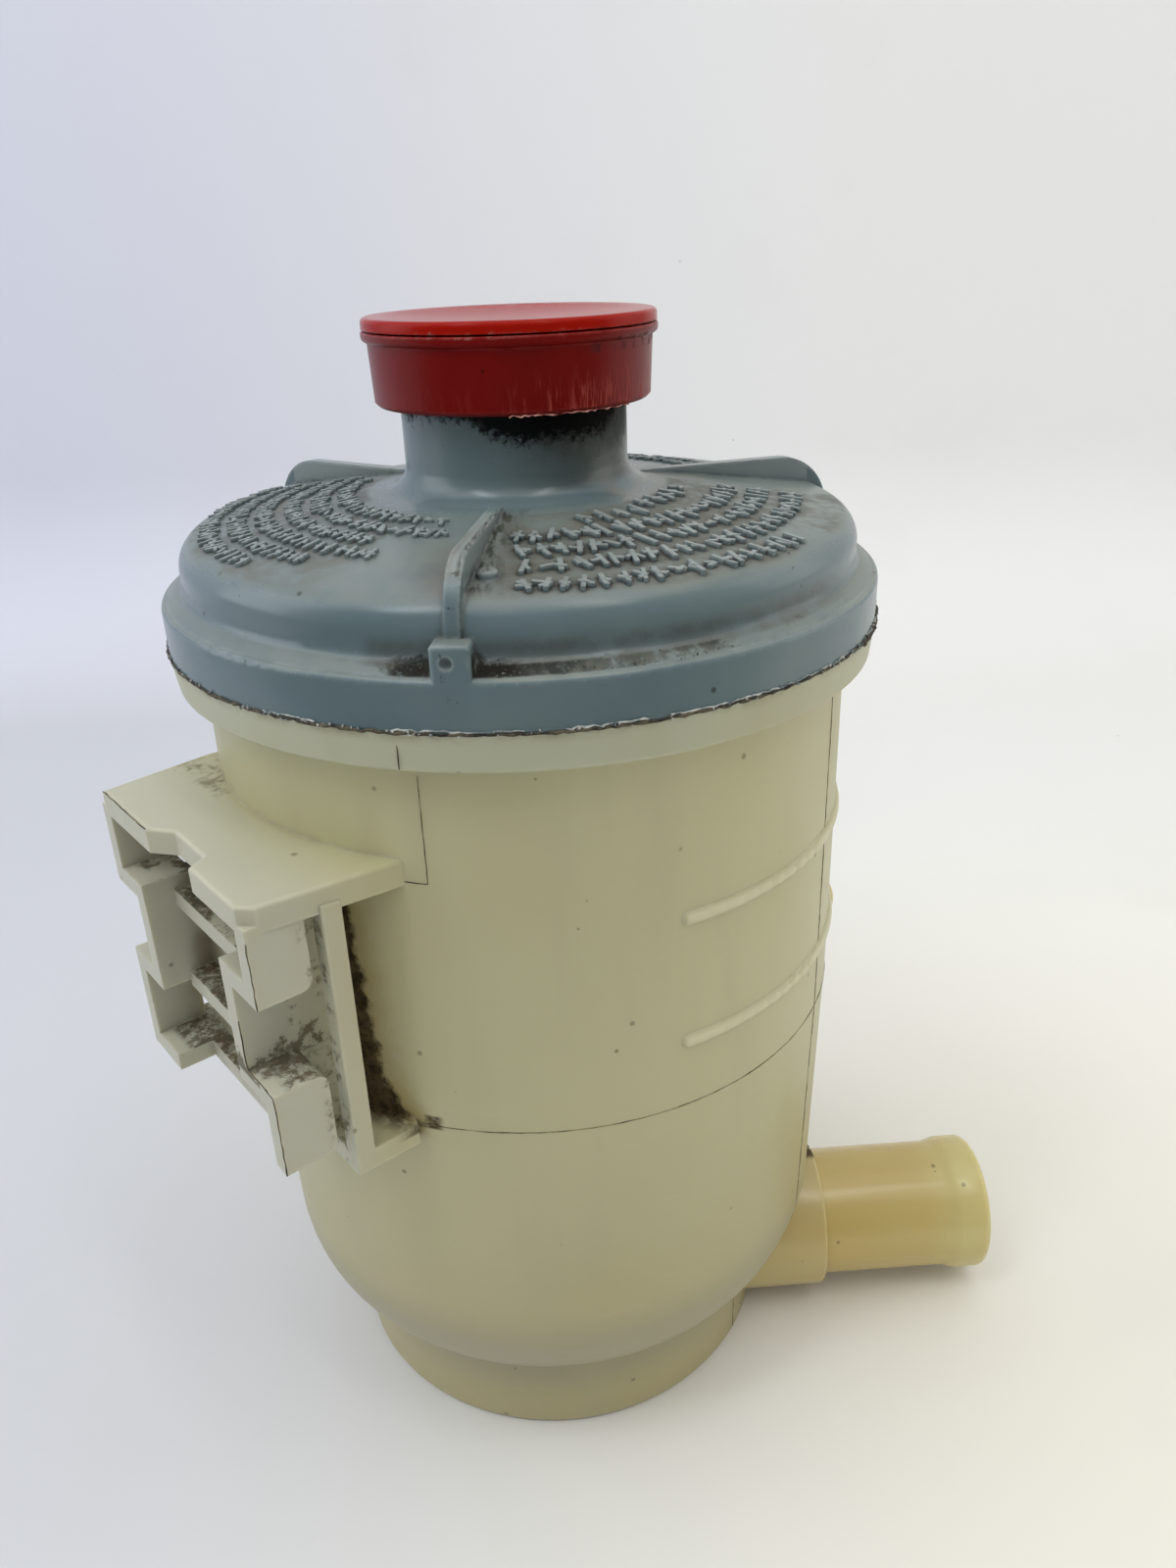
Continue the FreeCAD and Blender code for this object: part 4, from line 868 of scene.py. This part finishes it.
# Mould seams
plate_seam_foot, flange_seam_azimuth = 98, -107.5
foot_seam_radius, foot_seam_azimuth = 32.7, -34.5
seams = [upright_line(right_seam_azimuth, 21, 110),
         arc(tank_radius(mould_line_z), -118, 180, mould_line_z),
         upright_line(plate_seam_azimuth, plate_seam_foot, 111),
         arc(mould_line_radius, -113, plate_seam_azimuth, plate_seam_foot),
         [polar(flange_radius - 0.25, flange_seam_azimuth, z) for z in (113.2, 114.4, 115.6, 116.9)],
         [polar(foot_seam_radius, foot_seam_azimuth, z) for z in (0.8, 3.0, 6.0, 9.0)],
         arc(tank_radius(60), right_seam_azimuth, right_seam_azimuth + 0.6, 60)]
grow("mould_seams", path_mesh("seams", seams), bead,
     {"Radius": 0.00007, "Step": 0.0011, "Wander": 0.00003, "Lumps": 0.00006, "Seed": 11,
      "Material": seam_dark}, "tank")

# Dirty hairlines along the bracket's front edges
plate_front, tab_edge, web_edge = 53.2, 21.5, 15.1
edges = [[on_bracket(plate_front, across, 100.7) for across in (-18.2, -14.0, -9.0, -4.0)],
         [on_bracket(plate_front, tab_edge, z) for z in (97.0, 94.0, 91.0, 88.8)],
         [on_bracket(plate_front, web_edge, 84.0), on_bracket(plate_front, web_edge, 77.4),
          on_bracket(plate_front, tab_edge, 77.2), on_bracket(plate_front, tab_edge, 66.3)]]
grow("bracket_hairlines", path_mesh("edges", edges), bead,
     {"Radius": 0.00008, "Step": 0.0009, "Wander": 0.00005, "Lumps": 0.00010, "Seed": 13,
      "Material": hairline}, "tank")

# Rows of raised bars on the lid
rows_left = [(38.6, -208, -142), (35.2, -208, -132), (31.8, -208, -120), (28.3, -208, -127),
             (25.0, -208, -110), (21.6, -200, -114)]
rows_right = [(26.2, -91, -10), (30.2, -90, -8), (34.4, -90, -8), (39.0, -90, -40), (22.3, -71, -53),
              (20.9, -47, -21)]
rows_back = [(27.0, 28, 70), (31.5, 28, 70)]
for side, rows, pitch, bar in (("left", rows_left, 0.0015, (0.0027, 0.00046, 0.0009)),
                               ("right", rows_right + rows_back, 0.0019, (0.0034, 0.00055, 0.0010))):
    marks = path_mesh("rows_" + side,
                      [arc(reach, start, end, dome_z(reach), 2.0) for reach, start, end in rows])
    grow("lid_bars_" + side, marks, bars,
         {"Pitch": pitch, "Bar": bar, "Slope": dome_slope, "Seed": 2, "Material": lid_grey},
         "tank", smooth=False)

# Silt and soil
groove = strip_mesh("groove", [(arc(43.3, -97, -60, 123.7), arc(44.5, -97, -60, 122.9)),
                               (arc(43.3, -106, -102, 123.7), arc(44.5, -106, -102, 122.9))])
grow("groove_silt", groove, grit, {"Density": 3.0e6, "Size": 0.00018, "Seed": 21, "Material": silt},
     "tank")
fall_line = ((38.8, -50.5, dome_z(38.8)), (40.2, -49.8, 130.0), (41.95, -48.6, 128.6), (42.6, -47.6, 126.4))
trail = strip_mesh("trail", [([polar(reach, azimuth, z) for reach, azimuth, z in fall_line],
                              [polar(reach, azimuth + 2.2, z) for reach, azimuth, z in fall_line])])
grow("crumb_trail", trail, grit, {"Density": 4.0e6, "Size": 0.00014, "Seed": 23, "Material": silt},
     "tank")
post_foot_azimuth = -124.0
soil_edge = ((64.8, -116.5), (70, -119.0), (76, -120.5))
gap_wall = strip_mesh("gap", [([polar(mould_line_radius, post_foot_azimuth, z) for z, edge in soil_edge],
                               [polar(mould_line_radius, edge, z) for z, edge in soil_edge]),
                              (arc(42.0, -126, -116, 64.8), arc(43.2, -126, -116, 64.8))])
grow("gap_soil", gap_wall, grit, {"Density": 2.2e6, "Size": 0.00022, "Seed": 27, "Material": soil},
     "tank")

# Ragged hem of the cap
hem = path_mesh("hem", [arc(16.95, -92, -38, 143.5, 1.0)])
grow("cap_hem_flash", hem, bead, {"Radius": 0.00008, "Step": 0.0004, "Wander": 0.00012, "Lumps": 0.0003,
                                  "Seed": 31, "Material": red_flash}, "cap")


def sweep(name, material):
    """Floor that bends up into a backdrop."""
    half_width, front, height = 1.6, -1.2, 1.4
    bend_start, bend_radius, bend_steps = 0.26, 0.08, 12
    profile = [(front, 0.0), (-0.4, 0.0), (0.0, 0.0), (bend_start, 0.0)]
    for i in range(1, bend_steps + 1):
        turn = math.radians(90 * i / bend_steps)
        profile.append((bend_start + bend_radius * math.sin(turn), bend_radius * (1 - math.cos(turn))))
    profile.append((bend_start + bend_radius, height))
    points = [(side, y, z) for y, z in profile for side in (-half_width, half_width)]
    faces = [(2 * i, 2 * i + 1, 2 * i + 3, 2 * i + 2) for i in range(len(profile) - 1)]
    mesh = bpy.data.meshes.new(name)
    mesh.from_pydata(points, [], faces)
    mesh.shade_smooth()
    mesh.materials.append(material)
    made = new_object(name, mesh)
    return made


def backdrop_material():
    """Pale matt card, with painted shade making it cooler and darker to the left, and painted light on the
    wall and on the floor in front; its front part shows a painted reflection of a dim room.
    """
    material, net, shader, place = new_material("pale_card")
    x, y = spread_out(net, place)[:2]
    # Painted shade: the floor is darker and cooler to the left
    colour = net.tint(net.rise(x, -0.16, 0.14), tone(199, 201, 206), tone(229, 229, 225))
    # Painted light: the wall is paler than the floor
    on_wall = net.rise(y, 0.26, 0.34)
    lit_wall_colour = net.tint(net.rise(x, -0.22, 0.16), tone(216, 218, 230), tone(236, 236, 235))
    colour = net.tint(on_wall, colour, lit_wall_colour)
    # Warm pool of painted light on the floor round and in front of the tank
    warm_painted_light = net.times(net.rise(x, -0.10, 0.10), net.fall(y, -0.02, 0.20), 0.6)
    colour = net.tint(warm_painted_light, colour, tone(240, 235, 219))
    stain = net.rise(net.noise(place, 14.0, 3.0), 0.55, 0.8)
    colour = net.tint(net.times(stain, 0.12), colour, tone(206, 204, 198))
    specks = net.use(SPECKS, Place=place, Scale=90.0, Share=0.05, Size=0.05)
    colour = net.tint(net.times(specks, 0.35), colour, tone(150, 144, 130))
    # Painted reflection: glossy rays see the card's front part dark, as if a dim room stood there
    mirrored = net.node("ShaderNodeLightPath").outputs["Is Glossy Ray"]
    colour = net.tint(net.times(mirrored, net.fall(y, -0.22, -0.06), 0.93), colour, tone(30, 30, 32))
    finish_surface(net, shader, colour, 0.6)
    shader.inputs["Specular IOR Level"].default_value = 0.2
    return material


def area_light(name, place, target, size, power, colour=(1, 1, 1)):
    light = bpy.data.lights.new(name, "AREA")
    light.shape = "RECTANGLE"
    light.size, light.size_y = size
    light.energy = power
    light.color = colour
    made = bpy.data.objects.new(name, light)
    bpy.context.scene.collection.objects.link(made)
    made.location = place
    made.rotation_mode = "QUATERNION"
    made.rotation_quaternion = (Vector(target) - Vector(place)).to_track_quat("-Z", "Y")
    return made


sweep("backdrop", backdrop_material())
area_light("ceiling", (-0.12, -0.12, 1.15), (0, 0, 0.05), (1.5, 1.3), 5.8, (1.0, 0.99, 0.97))
area_light("left_window", (-0.38, -0.30, 0.85), (0, 0, 0.10), (0.12, 0.36), 1.1, (0.84, 0.91, 1.0))
area_light("right_tube", (0.26, -0.34, 0.85), (0, 0, 0.10), (0.08, 0.42), 0.7, (1.0, 0.98, 0.94))
area_light("left_wall", (-0.95, 0.10, 0.50), (0, 0, 0.08), (0.7, 0.8), 3.2, (0.93, 0.96, 1.0))
area_light("right_wall", (0.95, 0.15, 0.45), (0, 0, 0.08), (0.7, 0.8), 1.9, (1.0, 0.98, 0.93))

world = bpy.data.worlds.new("surroundings")
bpy.context.scene.world = world
world.use_nodes = True
sky = Net(world.node_tree)
world.node_tree.nodes.clear()
heading = sky.node("ShaderNodeSeparateXYZ", {"Vector": sky.node("ShaderNodeTexCoord").outputs["Generated"]})
dim_front = sky.tint(sky.rise(heading.outputs[1], -0.75, 0.10), (0.03, 0.03, 0.03, 1.0), (1.0, 1.0, 1.0, 1.0))
glossy = sky.node("ShaderNodeLightPath").outputs["Is Glossy Ray"]
glow = sky.tint(glossy, (0.97, 0.98, 1.0, 1.0), dim_front)
soft = sky.node("ShaderNodeBackground", {"Color": glow, "Strength": 0.55})
sky.feed(sky.node("ShaderNodeOutputWorld").inputs["Surface"], soft.outputs[0])

# Camera solved from the photograph's circles: its place and its three directions
camera_place = Vector((0, -0.152425, 0.161525))
camera = bpy.data.cameras.new("photo_camera")
camera.lens = 27.0
camera.sensor_width = 36.0
camera.clip_start = 0.01
viewer = bpy.data.objects.new("photo_camera", camera)
bpy.context.scene.collection.objects.link(viewer)
right = Vector((0.9974427, -0.06409589, -0.03161938))
upward = Vector((0.05574126, 0.42075409, 0.9054606))
forward = Vector((0.04473232, 0.90490757, -0.42325088))
turn = Matrix((right, upward, -forward)).transposed()
viewer.matrix_world = Matrix.Translation(camera_place) @ turn.to_4x4()
bpy.context.scene.camera = viewer
bpy.context.scene.view_settings.view_transform = "Standard"
